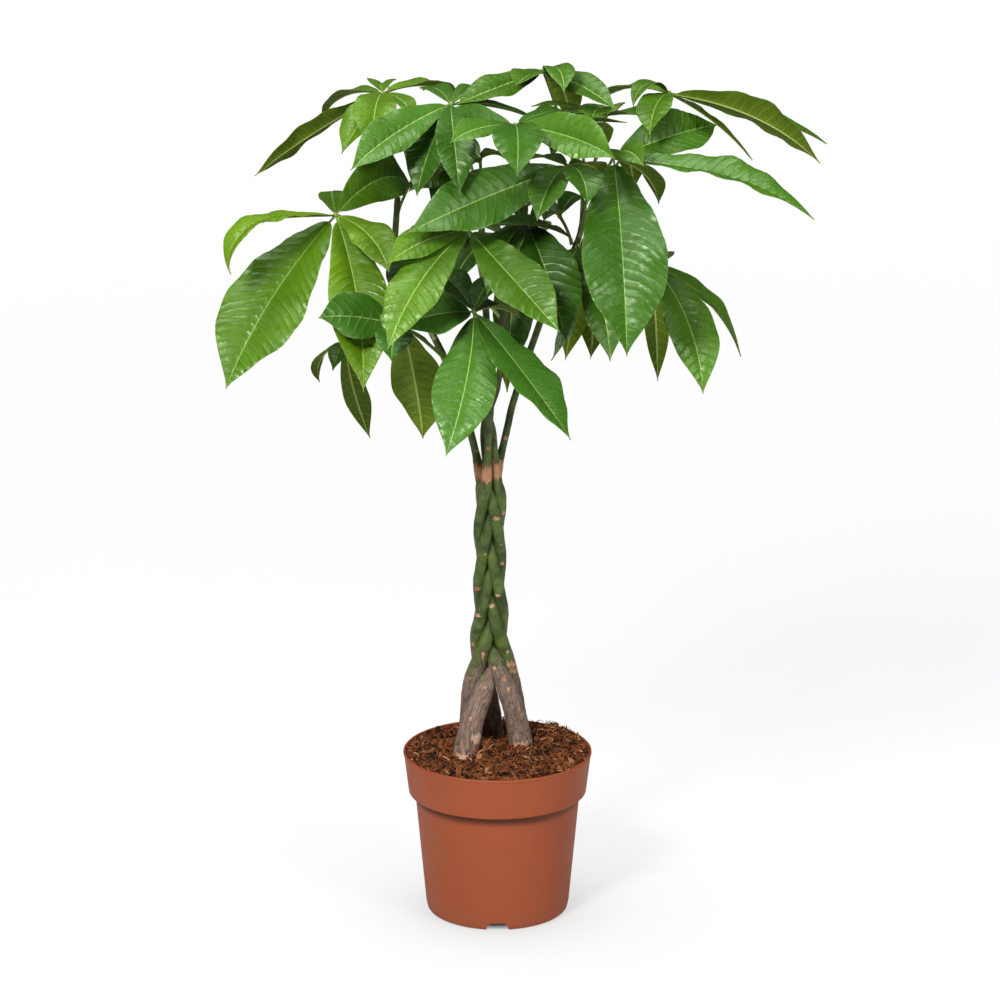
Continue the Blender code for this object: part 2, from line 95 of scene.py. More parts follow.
def tree_of(values):
    """The node tree that the sockets among these values belong to."""
    return next(value.id_data for value in values if isinstance(value, bpy.types.NodeSocket))


def calc(operation, *values):
    return put(tree_of(values), "ShaderNodeMath", dict(enumerate(values)), operation=operation).outputs[0]


def times(first, *others):
    for other in others:
        first = calc("MULTIPLY", first, other)
    return first


def plus(first, *others):
    for other in others:
        first = calc("ADD", first, other)
    return first


def minus(first, second):
    return calc("SUBTRACT", first, second)


def ease(value, low, high, to_low=0.0, to_high=1.0):
    """Takes a value from one range to another with soft ends."""
    inputs = {0: value, 1: low, 2: high, 3: to_low, 4: to_high}
    return put(value.id_data, "ShaderNodeMapRange", inputs, interpolation_type="SMOOTHSTEP").outputs[0]


def mix(factor, first, second, blend="MIX"):
    inputs = {0: factor, 6: first, 7: second}
    tree = tree_of(inputs.values())
    return put(tree, "ShaderNodeMix", inputs, data_type="RGBA", blend_type=blend).outputs[2]


def lay(colour, mask, amount, tint):
    """Lays a tint over a colour where a mask says, as strongly as the amount says."""
    return mix(times(mask, amount), colour, tint)


def cloud(place, scale, detail=3.0, roughness=0.55):
    inputs = {"Vector": place, "Scale": scale, "Detail": detail, "Roughness": roughness}
    return put(place.id_data, "ShaderNodeTexNoise", inputs).outputs[0]


def parts_of(arrow):
    """A vector's X, Y and Z."""
    return put(arrow.id_data, "ShaderNodeSeparateXYZ", {0: arrow}).outputs


def object_place(tree):
    return put(tree, "ShaderNodeTexCoord").outputs["Object"]


def new_material(name, roughness=0.5, specular=0.5):
    mat = bpy.data.materials.new(name)
    mat.use_nodes = True
    shader = mat.node_tree.nodes["Principled BSDF"]
    shader.inputs["Roughness"].default_value = roughness
    shader.inputs["Specular IOR Level"].default_value = specular
    return mat, mat.node_tree, shader


def name_inputs(tree, inputs):
    """Gives a tree its named inputs, from name to (socket type, value), and returns their sockets."""
    for label, (kind, value) in inputs.items():
        socket = tree.interface.new_socket(label, in_out="INPUT", socket_type="NodeSocket" + kind)
        if value is not None:
            socket.default_value = value
    return put(tree, "NodeGroupInput").outputs


def make_mottle():
    """Shader group for the uneven tone and fine unevenness that every surface here has."""
    group = bpy.data.node_groups.new("mottle", "ShaderNodeTree")
    ends = name_inputs(group, {"Vector": ("Vector", None), "Coarse Scale": ("Float", 20),
                               "Fine Scale": ("Float", 400), "Amount": ("Float", 0.2)})
    for name in ("Tone", "Height"):
        group.interface.new_socket(name, in_out="OUTPUT", socket_type="NodeSocketFloat")
    coarse = cloud(ends["Vector"], ends["Coarse Scale"])
    fine = cloud(ends["Vector"], ends["Fine Scale"], detail=4)
    both = plus(times(coarse, 0.7), times(fine, 0.3))
    swing = times(minus(both, 0.5), ends["Amount"])
    put(group, "NodeGroupOutput", {"Tone": calc("MULTIPLY_ADD", swing, 2.0, 1.0), "Height": fine})
    return group


MOTTLE = make_mottle()


def mottle(place, coarse, fine, amount):
    inputs = {"Vector": place, "Coarse Scale": coarse, "Fine Scale": fine, "Amount": amount}
    made = put(place.id_data, "ShaderNodeGroup", inputs, node_tree=MOTTLE)
    return made.outputs["Tone"], made.outputs["Height"]


def toned(colour, tone):
    """A colour made lighter or darker by a tone around 1."""
    grey = put(tone.id_data, "ShaderNodeCombineColor", {0: tone, 1: tone, 2: tone}).outputs[0]
    return mix(1.0, colour, grey, "MULTIPLY")


def feed(shader, **looks):
    """Links what changes over the surface into the shader: its base_color, roughness or the like."""
    for name, value in looks.items():
        shader.id_data.links.new(value, shader.inputs[name.replace("_", " ").title()])


def bump(shader, height, strength, distance):
    inputs = {"Height": height, "Strength": strength, "Distance": distance}
    feed(shader, normal=put(height.id_data, "ShaderNodeBump", inputs).outputs[0])


def circle(radius, sides):
    """The corners of a round, as (x, y)."""
    angles = 2 * math.pi * np.arange(sides) / sides
    return [(radius * math.cos(a), radius * math.sin(a)) for a in angles]


def arc(centre, size, start, end, steps):
    """Points of (radius, height) on an elliptical arc, angles in degrees."""
    angles = np.radians(np.linspace(start, end, steps))
    return [(centre[0] + size[0] * math.cos(a), centre[1] + size[1] * math.sin(a)) for a in angles]


def join_rings(bm, first, second):
    """Faces between two rings of corners, where either may be a single point."""
    sides = max(len(first), len(second))
    for i in range(sides):
        j = (i + 1) % sides
        corners = [first[i % len(first)], first[j % len(first)],
                   second[j % len(second)], second[i % len(second)]]
        bm.faces.new(list(dict.fromkeys(corners)))


def plain_mesh(bm, name, turn_out=True):
    """Makes the mesh, and turns the faces outwards unless they are made that way."""
    if turn_out:
        bmesh.ops.recalc_face_normals(bm, faces=bm.faces)
    mesh = bpy.data.meshes.new(name)
    bm.to_mesh(mesh)
    bm.free()
    return mesh


def turned_mesh(name, profile, sides):
    """A closed solid: the profile of (radius, height) turned round Z, its two ends on the axis."""
    bm = bmesh.new()
    rings = []
    for radius, height in profile:
        spots = circle(radius, sides) if radius > 1e-6 else [(0, 0)]
        rings.append([bm.verts.new((x, y, height)) for x, y in spots])
    for lower, upper in zip(rings[:-1], rings[1:]):
        join_rings(bm, lower, upper)
    return plain_mesh(bm, name)


def add_piece(name, mesh, *mats):
    piece = bpy.data.objects.new(name, mesh)
    bpy.context.scene.collection.objects.link(piece)
    mesh.materials.clear()
    for mat in mats:
        mesh.materials.append(mat)
    return piece


def settle(piece, angle=40):
    """Applies the piece's modifiers, and shades it smooth but for its sharp edges."""
    bpy.context.view_layer.update()
    depsgraph = bpy.context.evaluated_depsgraph_get()
    mesh = bpy.data.meshes.new_from_object(
        piece.evaluated_get(depsgraph), preserve_all_data_layers=True, depsgraph=depsgraph)
    piece.modifiers.clear()
    piece.data = mesh
    if len(mesh.materials) > 1 and mesh.materials[0] is None:
        mesh.materials.pop(index=0)
    mesh.shade_smooth()
    mesh.set_sharp_from_angle(angle=math.radians(angle))


def plastic_material():
    """Matt moulded plastic: a little uneven, dusty at its foot, with a painted shadow under the band."""
    mat, tree, shader = new_material("terracotta_plastic", specular=0.3)
    place = object_place(tree)
    tone, fine = mottle(place, 16, 700, 0.10)
    colour = toned((0.300, 0.065, 0.020, 1), tone)
    height = parts_of(place)["Z"]
    specks = ease(cloud(place, 900, detail=2), 0.70, 0.78)
    dust = times(ease(height, 0.03, 0.0), cloud(place, 60))
    colour = lay(colour, specks, 0.10, (0.62, 0.32, 0.20, 1))
    colour = lay(colour, dust, 0.25, (0.30, 0.12, 0.07, 1))
    # Painted shadow: the wall's colour is darkened just under the band's ledge, where shade falls
    ledge = pot_height - BAND_HEIGHT
    below = calc("LESS_THAN", height, ledge + 0.2 * MM)
    start, full, darkness = LEDGE_PAINTED_SHADOW
    near = ease(height, ledge - start, ledge - full, 0.0, darkness)
    colour = lay(colour, below, near, (0.055, 0.012, 0.004, 1))
    patchy = ease(cloud(place, 35), 0.3, 0.7, 0.50, 0.62)
    feed(shader, base_color=colour, roughness=patchy)
    bump(shader, fine, 0.25, 0.0002)
    return mat


def pot_profile():
    """The pot's section as (radius, height): hollow underneath, foot, wall, band, lip, inside and floor."""
    band_bottom = pot_height - BAND_HEIGHT
    band_low = rim_radius - BAND_TAPER
    hollow_top, hollow_mouth, hollow_height = UNDERSIDE
    wide, tall = BAND_ROUND
    half = POT_WALL / 2
    out = [(0, hollow_height), (hollow_top, hollow_height), (hollow_mouth, 0)]
    out += arc((FOOT_RADIUS - FOOT_ROUND, FOOT_ROUND), (FOOT_ROUND, FOOT_ROUND), -90, -6, 6)
    for step in np.linspace(0.08, 0.98, 10):
        out.append((FOOT_RADIUS + (WALL_TOP_RADIUS - FOOT_RADIUS) * step, band_bottom * step))
    out += arc((band_low - wide, band_bottom + tall), (wide, tall), -84, 0, 8)
    out += [(rim_radius - LIP, pot_height - LIP_DEPTHS[0]), (rim_radius, pot_height - LIP_DEPTHS[1])]
    out += arc((rim_radius - half, pot_height - half), (half, half), 0, 180, 7)
    out += [(rim_radius - POT_WALL - LIP, pot_height - LIP_INSIDE),
            (band_low - POT_WALL, band_bottom + tall),
            (WALL_TOP_RADIUS - POT_WALL, band_bottom + 1 * MM),
            (FOOT_RADIUS - POT_WALL, POT_FLOOR + FLOOR_CORNER),
            (FOOT_RADIUS - 2 * POT_WALL, POT_FLOOR),
            (0, POT_FLOOR)]
    return out


def drain_cutter():
    """One trapezium block for each slot, standing across the edge of the floor."""
    bm = bmesh.new()
    wide, narrow = DRAIN_WIDTH
    corner, drop = DRAIN_CORNER
    shoulder = DRAIN_HEIGHT - drop
    outline = [(-wide, -1 * MM), (wide, -1 * MM), (narrow, shoulder), (narrow - corner, DRAIN_HEIGHT),
               (corner - narrow, DRAIN_HEIGHT), (-narrow, shoulder)]
    for k in range(DRAIN_SLOTS):
        angle = math.radians(-90 + 360 / DRAIN_SLOTS * k)
        out = Vector((math.cos(angle), math.sin(angle), 0))
        side = Vector((-out.y, out.x, 0))
        ends = []
        for reach in (FOOT_RADIUS - DRAIN_REACH, FOOT_RADIUS + DRAIN_REACH):
            spots = [out * reach + side * (x / 2) + Vector((0, 0, z)) for x, z in outline]
            ends.append([bm.verts.new(spot) for spot in spots])
        join_rings(bm, *ends)
        bm.faces.new(ends[0])
        bm.faces.new(ends[1])
    return add_piece("drain_cutter", plain_mesh(bm, "drain_cutter"))


pot = add_piece("pot_moulding", turned_mesh("pot_moulding", pot_profile(), POT_SIDES), plastic_material())
cutter = drain_cutter()
slots = pot.modifiers.new("Drain slots", "BOOLEAN")
slots.object = cutter
slots.operation = "DIFFERENCE"
settle(pot)
bpy.data.objects.remove(cutter, do_unlink=True)
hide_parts("pot")
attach(pot, "root")


# ---------------------------------------------------------------- soil
# The pot is filled with coir and shredded bark. Its top is a loose mat of reddish-brown fibres and chips
# over dark crumbs, a few millimetres below the rim and heaped a little against the stems.

SOIL_RINGS = 44
SOIL_SIDES = 150
SOIL_CROWN = 3 * MM
SOIL_EDGE = 6 * MM
SOIL_LOOSE = 6.5 * MM
LUMPS_PER_METRE = 95
WALL_SLOPE = BAND_TAPER / BAND_HEIGHT

soil_edge = pot_height - SOIL_EDGE
soil_radius = rim_radius - POT_WALL - 1.6 * MM
strewn_radius = rim_radius - POT_WALL - 0.4 * MM
# The filling's side inside the pot, as (radius, height)
SOIL_SIDE = [(soil_radius, 130 * MM), (WALL_TOP_RADIUS - POT_WALL - 1 * MM, 108 * MM),
             (59 * MM, POT_FLOOR + 0.3 * MM)]
# Heaps and hollows on top (x, y, how wide, how high, millimetres)
HEAPS = [
    (-8, -4, 10, 10), (-34, -26, 18, -4), (42, -4, 12, 6), (-50, 20, 16, 2), (22, -40, 14, 4),
    (52, 34, 20, 4), (12, -24, 9, -4), (-58, -14, 10, 4), (-20, -52, 11, 4), (62, -24, 10, 3),
    (-48, 40, 10, 4)]
# The bank against the rim: its height, its heading and spread in radians, and where it starts, from 0 in
# the pot's middle to 1 at its wall
BANK = (4.5 * MM, 0.75, 0.55, 0.6)


def stored(tree, name, output="Fac"):
    """What a mesh holds under this name, as a shader reads it."""
    return put(tree, "ShaderNodeAttribute", attribute_name=name).outputs[output]


def coir_material(name, dark, light, bleached):
    """Dry fibre: each bit has its own tone, from dark to light, with fine grain along it."""
    mat, tree, shader = new_material(name, roughness=0.9, specular=0.25)
    place = object_place(tree)
    tone = stored(tree, "tone")
    spread = calc("MULTIPLY_ADD", cloud(place, 160), 0.5, times(tone, 0.75))
    colour = mix(ease(spread, 0.28, 0.78), dark, light)
    colour = lay(colour, ease(tone, 0.86, 0.99), 0.8, bleached)
    drawn_out = put(tree, "ShaderNodeMapping", {"Vector": place, "Scale": (1, 1, 0.3)}).outputs[0]
    grain = cloud(drawn_out, 1800, detail=2)
    feed(shader, base_color=toned(colour, ease(grain, 0.2, 0.8, 0.75, 1.25)))
    bump(shader, grain, 0.6, 0.0003)
    return mat


def soil_height(x, y):
    """Height of the soil's top: a low dome, loose and uneven, banked up against the rim's back right."""
    run = math.hypot(x, y) / soil_radius
    dome = soil_edge + SOIL_CROWN * (1 - run ** 2)
    lumps = noise.fractal((x * LUMPS_PER_METRE, y * LUMPS_PER_METRE, 3.0), 0.6, 2.0, 4) * 0.55 + 0.35
    for heap_x, heap_y, wide, high in HEAPS:
        dome += high * MM * math.exp(-((x / MM - heap_x) ** 2 + (y / MM - heap_y) ** 2) / wide ** 2)
    high, heading, spread, start = BANK
    bank = math.exp(-((math.atan2(y, x) - heading) / spread) ** 2) * max(0, run - start) / (1 - start)
    return dome + SOIL_LOOSE * max(lumps, 0.05) + high * bank


def soil_mesh():
    bm = bmesh.new()
    rings = []
    for ring in range(1, SOIL_RINGS + 1):
        spots = circle(soil_radius * ring / SOIL_RINGS, SOIL_SIDES)
        rings.append([bm.verts.new((x, y, soil_height(x, y))) for x, y in spots])
    for radius, height in SOIL_SIDE:
        rings.append([bm.verts.new((x, y, height)) for x, y in circle(radius, SOIL_SIDES)])
    middle = bm.verts.new((0, 0, soil_height(0, 0)))
    for inner, outer in zip(rings, rings[1:]):
        for i in range(SOIL_SIDES):
            j = (i + 1) % SOIL_SIDES
            bm.faces.new((inner[i], outer[i], outer[j], inner[j]))
    for i in range(SOIL_SIDES):
        bm.faces.new((middle, rings[0][i], rings[0][(i + 1) % SOIL_SIDES]))
    bm.faces.new(rings[-1][::-1])
    return plain_mesh(bm, "soil_crumbs", turn_out=False)


def new_nodes(name, inputs):
    """An empty geometry tree with named inputs; returns it and their sockets."""
    tree = bpy.data.node_groups.new(name, "GeometryNodeTree")
    for in_out in ("INPUT", "OUTPUT"):
        tree.interface.new_socket("Geometry", in_out=in_out, socket_type="NodeSocketGeometry")
    return tree, name_inputs(tree, inputs)


def end_nodes(geometry, material_socket):
    """Ends a tree in Realize Instances and Set Material."""
    tree = geometry.id_data
    whole = put(tree, "GeometryNodeRealizeInstances", {"Geometry": geometry}).outputs[0]
    inputs = {"Geometry": whole, "Material": material_socket}
    put(tree, "NodeGroupOutput", {0: put(tree, "GeometryNodeSetMaterial", inputs).outputs[0]})


def grow(piece, tree, values):
    """Gives a piece a geometry tree with these inputs, and turns the result into its plain mesh."""
    modifier = piece.modifiers.new(tree.name, "NODES")
    modifier.node_group = tree
    for item in tree.interface.items_tree:
        if item.in_out == "INPUT" and item.name in values:
            modifier[item.identifier] = values[item.name]
    settle(piece)


def chance(low, high, seed, identity=None):
    inputs = {2: low, 3: high, 8: seed}
    if identity is not None:
        inputs[7] = identity
    return put(seed.id_data, "FunctionNodeRandomValue", inputs, data_type="FLOAT").outputs[1]


def vector(x=0.0, y=0.0, z=0.0):
    return put(tree_of((x, y, z)), "ShaderNodeCombineXYZ", {0: x, 1: y, 2: z}).outputs[0]


def vector_calc(operation, *vectors):
    """A sum on vectors; a length or a distance comes out as a plain number."""
    made = put(vectors[0].id_data, "ShaderNodeVectorMath", dict(enumerate(vectors)), operation=operation)
    return made.outputs["Value" if operation in ("LENGTH", "DISTANCE") else "Vector"]


def scaled(arrow, size):
    inputs = {0: arrow, "Scale": size}
    return put(arrow.id_data, "ShaderNodeVectorMath", inputs, operation="SCALE").outputs[0]


def moved(geometry, offset):
    inputs = {"Geometry": geometry, "Offset": offset}
    return put(geometry.id_data, "GeometryNodeSetPosition", inputs).outputs[0]


def store_field(geometry, name, value, domain="POINT"):
    """Stores a field on the geometry under a name, for the material to read."""
    kind = "FLOAT_VECTOR" if value.type == "VECTOR" else "FLOAT"
    inputs = {"Geometry": geometry, "Name": name, "Value": value}
    return put(geometry.id_data, "GeometryNodeStoreNamedAttribute", inputs,
               data_type=kind, domain=domain).outputs[0]


def scatter_nodes():
    """Bits strewn over a surface: each lies along it, turned any way and tipped up a little.

    A bit that would reach through the pot's wall is drawn in to it.
    """
    tree, ends = new_nodes("strewn_bits", {
        "Bit": ("Object", None), "Density": ("Float", 50000), "Smallest": ("Float", 5 * MM),
        "Largest": ("Float", 15 * MM), "Tip": ("Float", 0.5), "Seed": ("Int", 1),
        "Reach": ("Float", strewn_radius), "Material": ("Material", None)})
    place = put(tree, "GeometryNodeInputPosition").outputs[0]
    facing = parts_of(put(tree, "GeometryNodeInputNormal").outputs[0])["Z"]
    clumped = ease(cloud(place, 75), 0.36, 0.60, 0.15, 1.5)
    points = put(tree, "GeometryNodeDistributePointsOnFaces", {
        "Mesh": ends["Geometry"], "Selection": calc("GREATER_THAN", facing, 0.3),
        "Density": times(ends["Density"], clumped), "Seed": ends["Seed"]})
    seeds = [plus(ends["Seed"], k) for k in range(1, 6)]
    spin = vector(chance(-1, 1, seeds[0]), chance(-1, 1, seeds[1]))
    turn = vector(z=chance(0, 2 * math.pi, seeds[2]))
    both = vector_calc("ADD", scaled(spin, ends["Tip"]), turn)
    rotation = put(tree, "FunctionNodeRotateRotation",
                   {0: points.outputs["Rotation"], 1: both}, rotation_space="LOCAL").outputs[0]
    bit = put(tree, "GeometryNodeObjectInfo", {"Object": ends["Bit"]}).outputs["Geometry"]
    strewn = put(tree, "GeometryNodeInstanceOnPoints", {
        "Points": points.outputs[0], "Instance": bit, "Rotation": rotation,
        "Scale": chance(ends["Smallest"], ends["Largest"], seeds[3])}).outputs[0]
    strewn = store_field(strewn, "tone", chance(0, 1, seeds[4]), "INSTANCE")
    whole = put(tree, "GeometryNodeRealizeInstances", {"Geometry": strewn}).outputs[0]
    level = vector_calc("MULTIPLY", place, (1, 1, 0))
    above = minus(parts_of(place)["Z"], pot_height)
    reach = calc("MULTIPLY_ADD", above, WALL_SLOPE, ends["Reach"])
    share = calc("DIVIDE", reach, vector_calc("LENGTH", level))
    pull = calc("MINIMUM", minus(share, 1.0), 0.0)
    end_nodes(moved(whole, scaled(level, pull)), ends["Material"])
    return tree


def bent_fibre(name, bend, sides, thick):
    """A fibre one unit long: a bent strand, tapered to its ends."""
    bm = bmesh.new()
    rings = []
    for step in range(5):
        run = step / 4
        middle = Vector((run - 0.5, bend * math.sin(math.pi * run),
                         0.25 * bend * math.sin(2 * math.pi * run)))
        width = thick * (0.35 + 0.65 * math.sin(math.pi * (0.1 + 0.8 * run)))
        rings.append([bm.verts.new(middle + Vector((0, y, z))) for y, z in circle(width, sides)])
    for first, second in zip(rings[:-1], rings[1:]):
        join_rings(bm, first, second)
    bm.faces.new(rings[0][::-1])
    bm.faces.new(rings[-1])
    return add_piece(name, plain_mesh(bm, name))


def bark_chip(name, length, width, thick, seed):
    """A flat angular chip up to one unit long."""
    bm = bmesh.new()
    bmesh.ops.create_cube(bm, size=1)
    long_edges = [e for e in bm.edges if abs(e.verts[0].co.x - e.verts[1].co.x) > 0.5]
    bmesh.ops.subdivide_edges(bm, edges=long_edges, cuts=1)
    rng = np.random.default_rng(seed)
    for vert in bm.verts:
        jolts = Vector(rng.uniform(-0.16, 0.16, 3))
        vert.co = [(at + jolt) * size for at, jolt, size in zip(vert.co, jolts, (length, width, thick))]
    return add_piece(name, plain_mesh(bm, name, turn_out=False))


crumb_finish = coir_material(
    "coir_dark", (0.010, 0.004, 0.002, 1), (0.048, 0.018, 0.008, 1), (0.1, 0.05, 0.03, 1))
crumbs = add_piece("soil_crumbs", soil_mesh(), crumb_finish)
settle(crumbs, 180)
STREWN = scatter_nodes()
fibre_finish = coir_material(
    "coir_fibre", (0.014, 0.004, 0.002, 1), (0.290, 0.084, 0.022, 1), (0.62, 0.34, 0.17, 1))
chip_finish = coir_material(
    "bark_chip", (0.010, 0.003, 0.002, 1), (0.19, 0.058, 0.017, 1), (0.44, 0.23, 0.10, 1))
# Each kind of bit: its shape, how many to the square metre, the smallest and largest in millimetres, how
# far they tip up, a seed and their finish
STREWN_BITS = {
    "coir_fine": (bent_fibre("fibre_fine", 0.32, 3, 0.026), 130000, 6, 15, 0.55, 3, fibre_finish),
    "coir_coarse": (bent_fibre("fibre_coarse", 0.24, 4, 0.060), 62000, 6, 15, 0.5, 17, fibre_finish),
    "bark_bits": (bark_chip("chip_flat", 1, 0.30, 0.14, 5), 24000, 5, 13, 0.6, 29, chip_finish),
    "bark_crumbs": (bark_chip("chip_small", 0.6, 0.5, 0.35, 8), 50000, 2, 5, 1.2, 41, chip_finish),
}
for name, (bit, density, smallest, largest, tip, seed, finish) in STREWN_BITS.items():
    strewn = add_piece(name, crumbs.data.copy())
    grow(strewn, STREWN, {
        "Bit": bit, "Density": density, "Smallest": smallest * MM, "Largest": largest * MM, "Tip": tip,
        "Seed": seed, "Material": finish})
    bpy.data.objects.remove(bit, do_unlink=True)
    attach(strewn, "root")
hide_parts("soil")
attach(crumbs, "root")


# ---------------------------------------------------------------- stems
# Five young trunks, plaited while green and grown tight against one another. Each is living wood under
# thin bark: grey-brown and fibrous on its thick foot, olive green above, with tan scars where leaves fell.

PLAIT_BOTTOM = 112 * MM
PLAIT_TOP = 400 * MM
PLAIT_PERIOD = 274 * MM
PLAIT_CROSSING = 396.5 * MM
PLAIT_CENTRE_X = -6.6 * MM
PLAIT_HALF_WIDTH = 6.6 * MM
PLAIT_DEPTH = 8.5 * MM
PLAIT_SKEW = 4.2 * MM
PLAIT_TOP_Y = 6 * MM
PLAIT_LEAN = 16 * MM
PLAIT_LEAN_OVER = 200 * MM
PLAIT_RINGS = 132
# The free stem's line sets out from two of the plait's last rings, this many apart
RINGS_TO_ROUTE = 6
# How far apart two pressed strands stay, as a share of their radii together, and how readily they give way
# sideways and from front to back
PRESSED = 0.84
GIVE = (0.5, 1.3)
STRAND_RADIUS = 5.1 * MM
STRAND_SWELL = 0.45
FREE_RADIUS = 3.5 * MM
STEM_TIP_RADIUS = 2.7 * MM
SLIM_FROM = 404 * MM
SLIM_OVER = 26 * MM
SPREAD_FROM = 335 * MM
SPREAD_OVER = 115 * MM
FEET_FROM = 247 * MM
FEET_OVER = 106 * MM
STEM_SIDES = 28
STEM_RING_GAP = 1.2 * MM
STEM_DENTS = 0.6 * MM
BARK_RIDGES = 0.8 * MM
BARK_RIDGE_TOP = 240 * MM
ROUTE_RINGS = 12

# Where each stem stands in the soil (place in the plait, x, y, radius, millimetres)
FEET = {
    "trunk_1": (1, -31, -5, 12.5),
    "trunk_2": (2, 22, 48, 10.5),
    "trunk_3": (4, -3, 46, 10),
    "trunk_4": (0, -25, 36, 11),
    "trunk_5": (3, 24, 16, 11.5),
}

# The free stems above the plait (x, y, z, millimetres)
ROUTES = {
    "trunk_1": [
        (-23, 8, 443), (-38, 14, 492), (-64, 22, 545), (-92, 30, 591), (-90, 34, 622), (-88, 36, 653)],
    "trunk_2": [(-8, -7, 445), (-6, -12, 481), (-9, -16, 546), (-13, -12, 608), (-14, -4, 655)],
    "trunk_3": [(-4, 2, 445), (-8, 7, 475), (2, 4, 541), (20, 0, 605), (35, -8, 661)],
    "trunk_4": [(-12, 22, 444), (0, 34, 482), (8, 46, 539), (13, 58, 589)],
    "trunk_5": [(8, 13, 445), (16, 17, 478), (42, 22, 554), (69, 26, 611), (77, 26, 644)],
}

# Leaf scars: height, turn round the stem in degrees (-90 faces forward), half width and half height in mm
SCARS = {
    "trunk_1": [
        (411, -90, 30, 6.5), (295, -106, 2.6, 1.8), (208, -96, 2, 2), (430, -60, 2, 1.5),
        (196, -70, 1.6, 1.4), (164, -43, 6, 5), (147, -111, 9, 5), (228, -130, 2, 3),
        (349, 60, 4, 2), (182, -110, 1.5, 2.5)],
    "trunk_2": [
        (412, -90, 30, 7), (284, -93, 2.2, 1.8), (223, -52, 9, 7.5), (436, -90, 2, 1.5),
        (330, -45, 1.2, 1), (240, -60, 1.4, 1.6), (372, 100, 4, 2)],
    "trunk_3": [
        (413, -90, 30, 7), (372, -55, 2.4, 2.2), (276, -129, 4, 1.8), (245, -140, 4, 2),
        (422, -120, 2, 2), (356, -70, 1.2, 1), (198, -100, 2.4, 2), (310, 80, 4, 2)],
    "trunk_4": [
        (410, -90, 30, 6.5), (369, -87, 3.4, 1.7), (324, -79, 2, 1.6), (239, -76, 1.6, 4),
        (343, -80, 1, 1), (214, -120, 2, 2), (270, 90, 4, 2)],
    "trunk_5": [
        (412, -90, 30, 7), (300, -109, 3, 2), (217, -75, 3, 2.2), (206, -73, 1.6, 3),
        (440, -80, 2, 2), (151, -85, 7, 5), (147, -39, 6, 4), (335, -60, 1.2, 1),
        (226, -110, 2, 1.6), (186, -60, 1.2, 4)],
}

# The height in millimetres where each stem's green bark gives way to brown
BROWN_FROM = {"trunk_1": 232, "trunk_2": 224, "trunk_3": 246, "trunk_4": 230, "trunk_5": 231}


def smooth_step(value):
    value = np.clip(value, 0, 1)
    return value * value * (3 - 2 * value)


def press_apart(places, radii, rounds=300, settling=10, smoothing=0.3):
    """Pushes the strands apart until they only press on one another, and keeps them smooth."""
    names = list(places)
    pairs = [(a, b) for i, a in enumerate(names) for b in names[i + 1:]]
    for turn in range(rounds):
        for first, second in pairs:
            apart = places[second] - places[first]
            distance = np.linalg.norm(apart, axis=1) + 1e-9
            wanted = (radii[first] + radii[second]) * PRESSED
            push = np.clip(wanted - distance, 0, None) / 2
            step = apart / distance[:, None] * push[:, None] * GIVE
            places[first] -= step
            places[second] += step
        if turn < rounds - settling:
            for place in places.values():
                place[1:-1] += smoothing * (place[2:] + place[:-2] - 2 * place[1:-1])


def plait_lines():
    """The strands' centre lines: a figure of eight in plan that climbs, opening out to the five feet."""
    height = np.linspace(PLAIT_BOTTOM, PLAIT_TOP, PLAIT_RINGS + 1)
    spread = np.clip((SPREAD_FROM - height) / SPREAD_OVER, 0, 1.2) ** 2
    footing = np.clip((FEET_FROM - height) / FEET_OVER, 0, 1) ** 1.2
    depth = PLAIT_TOP_Y + PLAIT_LEAN * np.clip((PLAIT_TOP - height) / PLAIT_LEAN_OVER, 0, 1)
    places = {}
    radii = {}
    for name, (order, foot_x, foot_y, foot_radius) in FEET.items():
        turn = math.pi + 2 * math.pi * ((height - PLAIT_CROSSING) / PLAIT_PERIOD + order / 5)
        x = PLAIT_CENTRE_X + PLAIT_HALF_WIDTH * (1 + 1.3 * spread) * np.sin(turn)
        y = depth + (PLAIT_DEPTH * np.sin(2 * turn) + PLAIT_SKEW * np.sin(4 * turn)) * (1 + spread)
        x = x * (1 - footing) + foot_x * MM * footing
        y = y * (1 - footing) + foot_y * MM * footing
        places[name] = np.stack([x, y], axis=1)
        thick = footing ** 1.5
        strand = STRAND_RADIUS * (1 + STRAND_SWELL * spread)
        radii[name] = strand * (1 - thick) + foot_radius * MM * thick
    press_apart(places, radii)
    return {name: (np.column_stack([places[name], height]), radii[name]) for name in FEET}


def spline_through(points, per_span):
    """Catmull-Rom spline through points."""
    points = np.asarray(points, float)
    padded = np.vstack([2 * points[0] - points[1], points, 2 * points[-1] - points[-2]])
    line = []
    for a, b, c, d in zip(padded[:-3], padded[1:-2], padded[2:-1], padded[3:]):
        for t in np.linspace(0, 1, per_span, endpoint=False):
            line.append(0.5 * (2 * b + (c - a) * t + (2 * a - 5 * b + 4 * c - d) * t ** 2
                               + (3 * b - 3 * c + d - a) * t ** 3))
    line.append(points[-1])
    return np.array(line)


def stem_lines():
    """Each whole stem's centre line and radii, and its free upper part by itself."""
    whole = {}
    free = {}
    for name, (points, radii) in plait_lines().items():
        route = np.vstack([points[::RINGS_TO_ROUTE][-2:], np.array(ROUTES[name]) * MM])
        upper = spline_through(route, ROUTE_RINGS)[ROUTE_RINGS:]
        run = np.linspace(0, 1, len(upper))
        upper_radii = FREE_RADIUS * (1 - run) + STEM_TIP_RADIUS * run
        slim = smooth_step((upper[:, 2] - SLIM_FROM) / SLIM_OVER)
        upper_radii = STRAND_RADIUS * (1 - slim) + upper_radii * slim
        whole[name] = (np.vstack([points, upper[1:]]), np.concatenate([radii, upper_radii[1:]]))
        free[name] = (upper, upper_radii)
    return whole, free


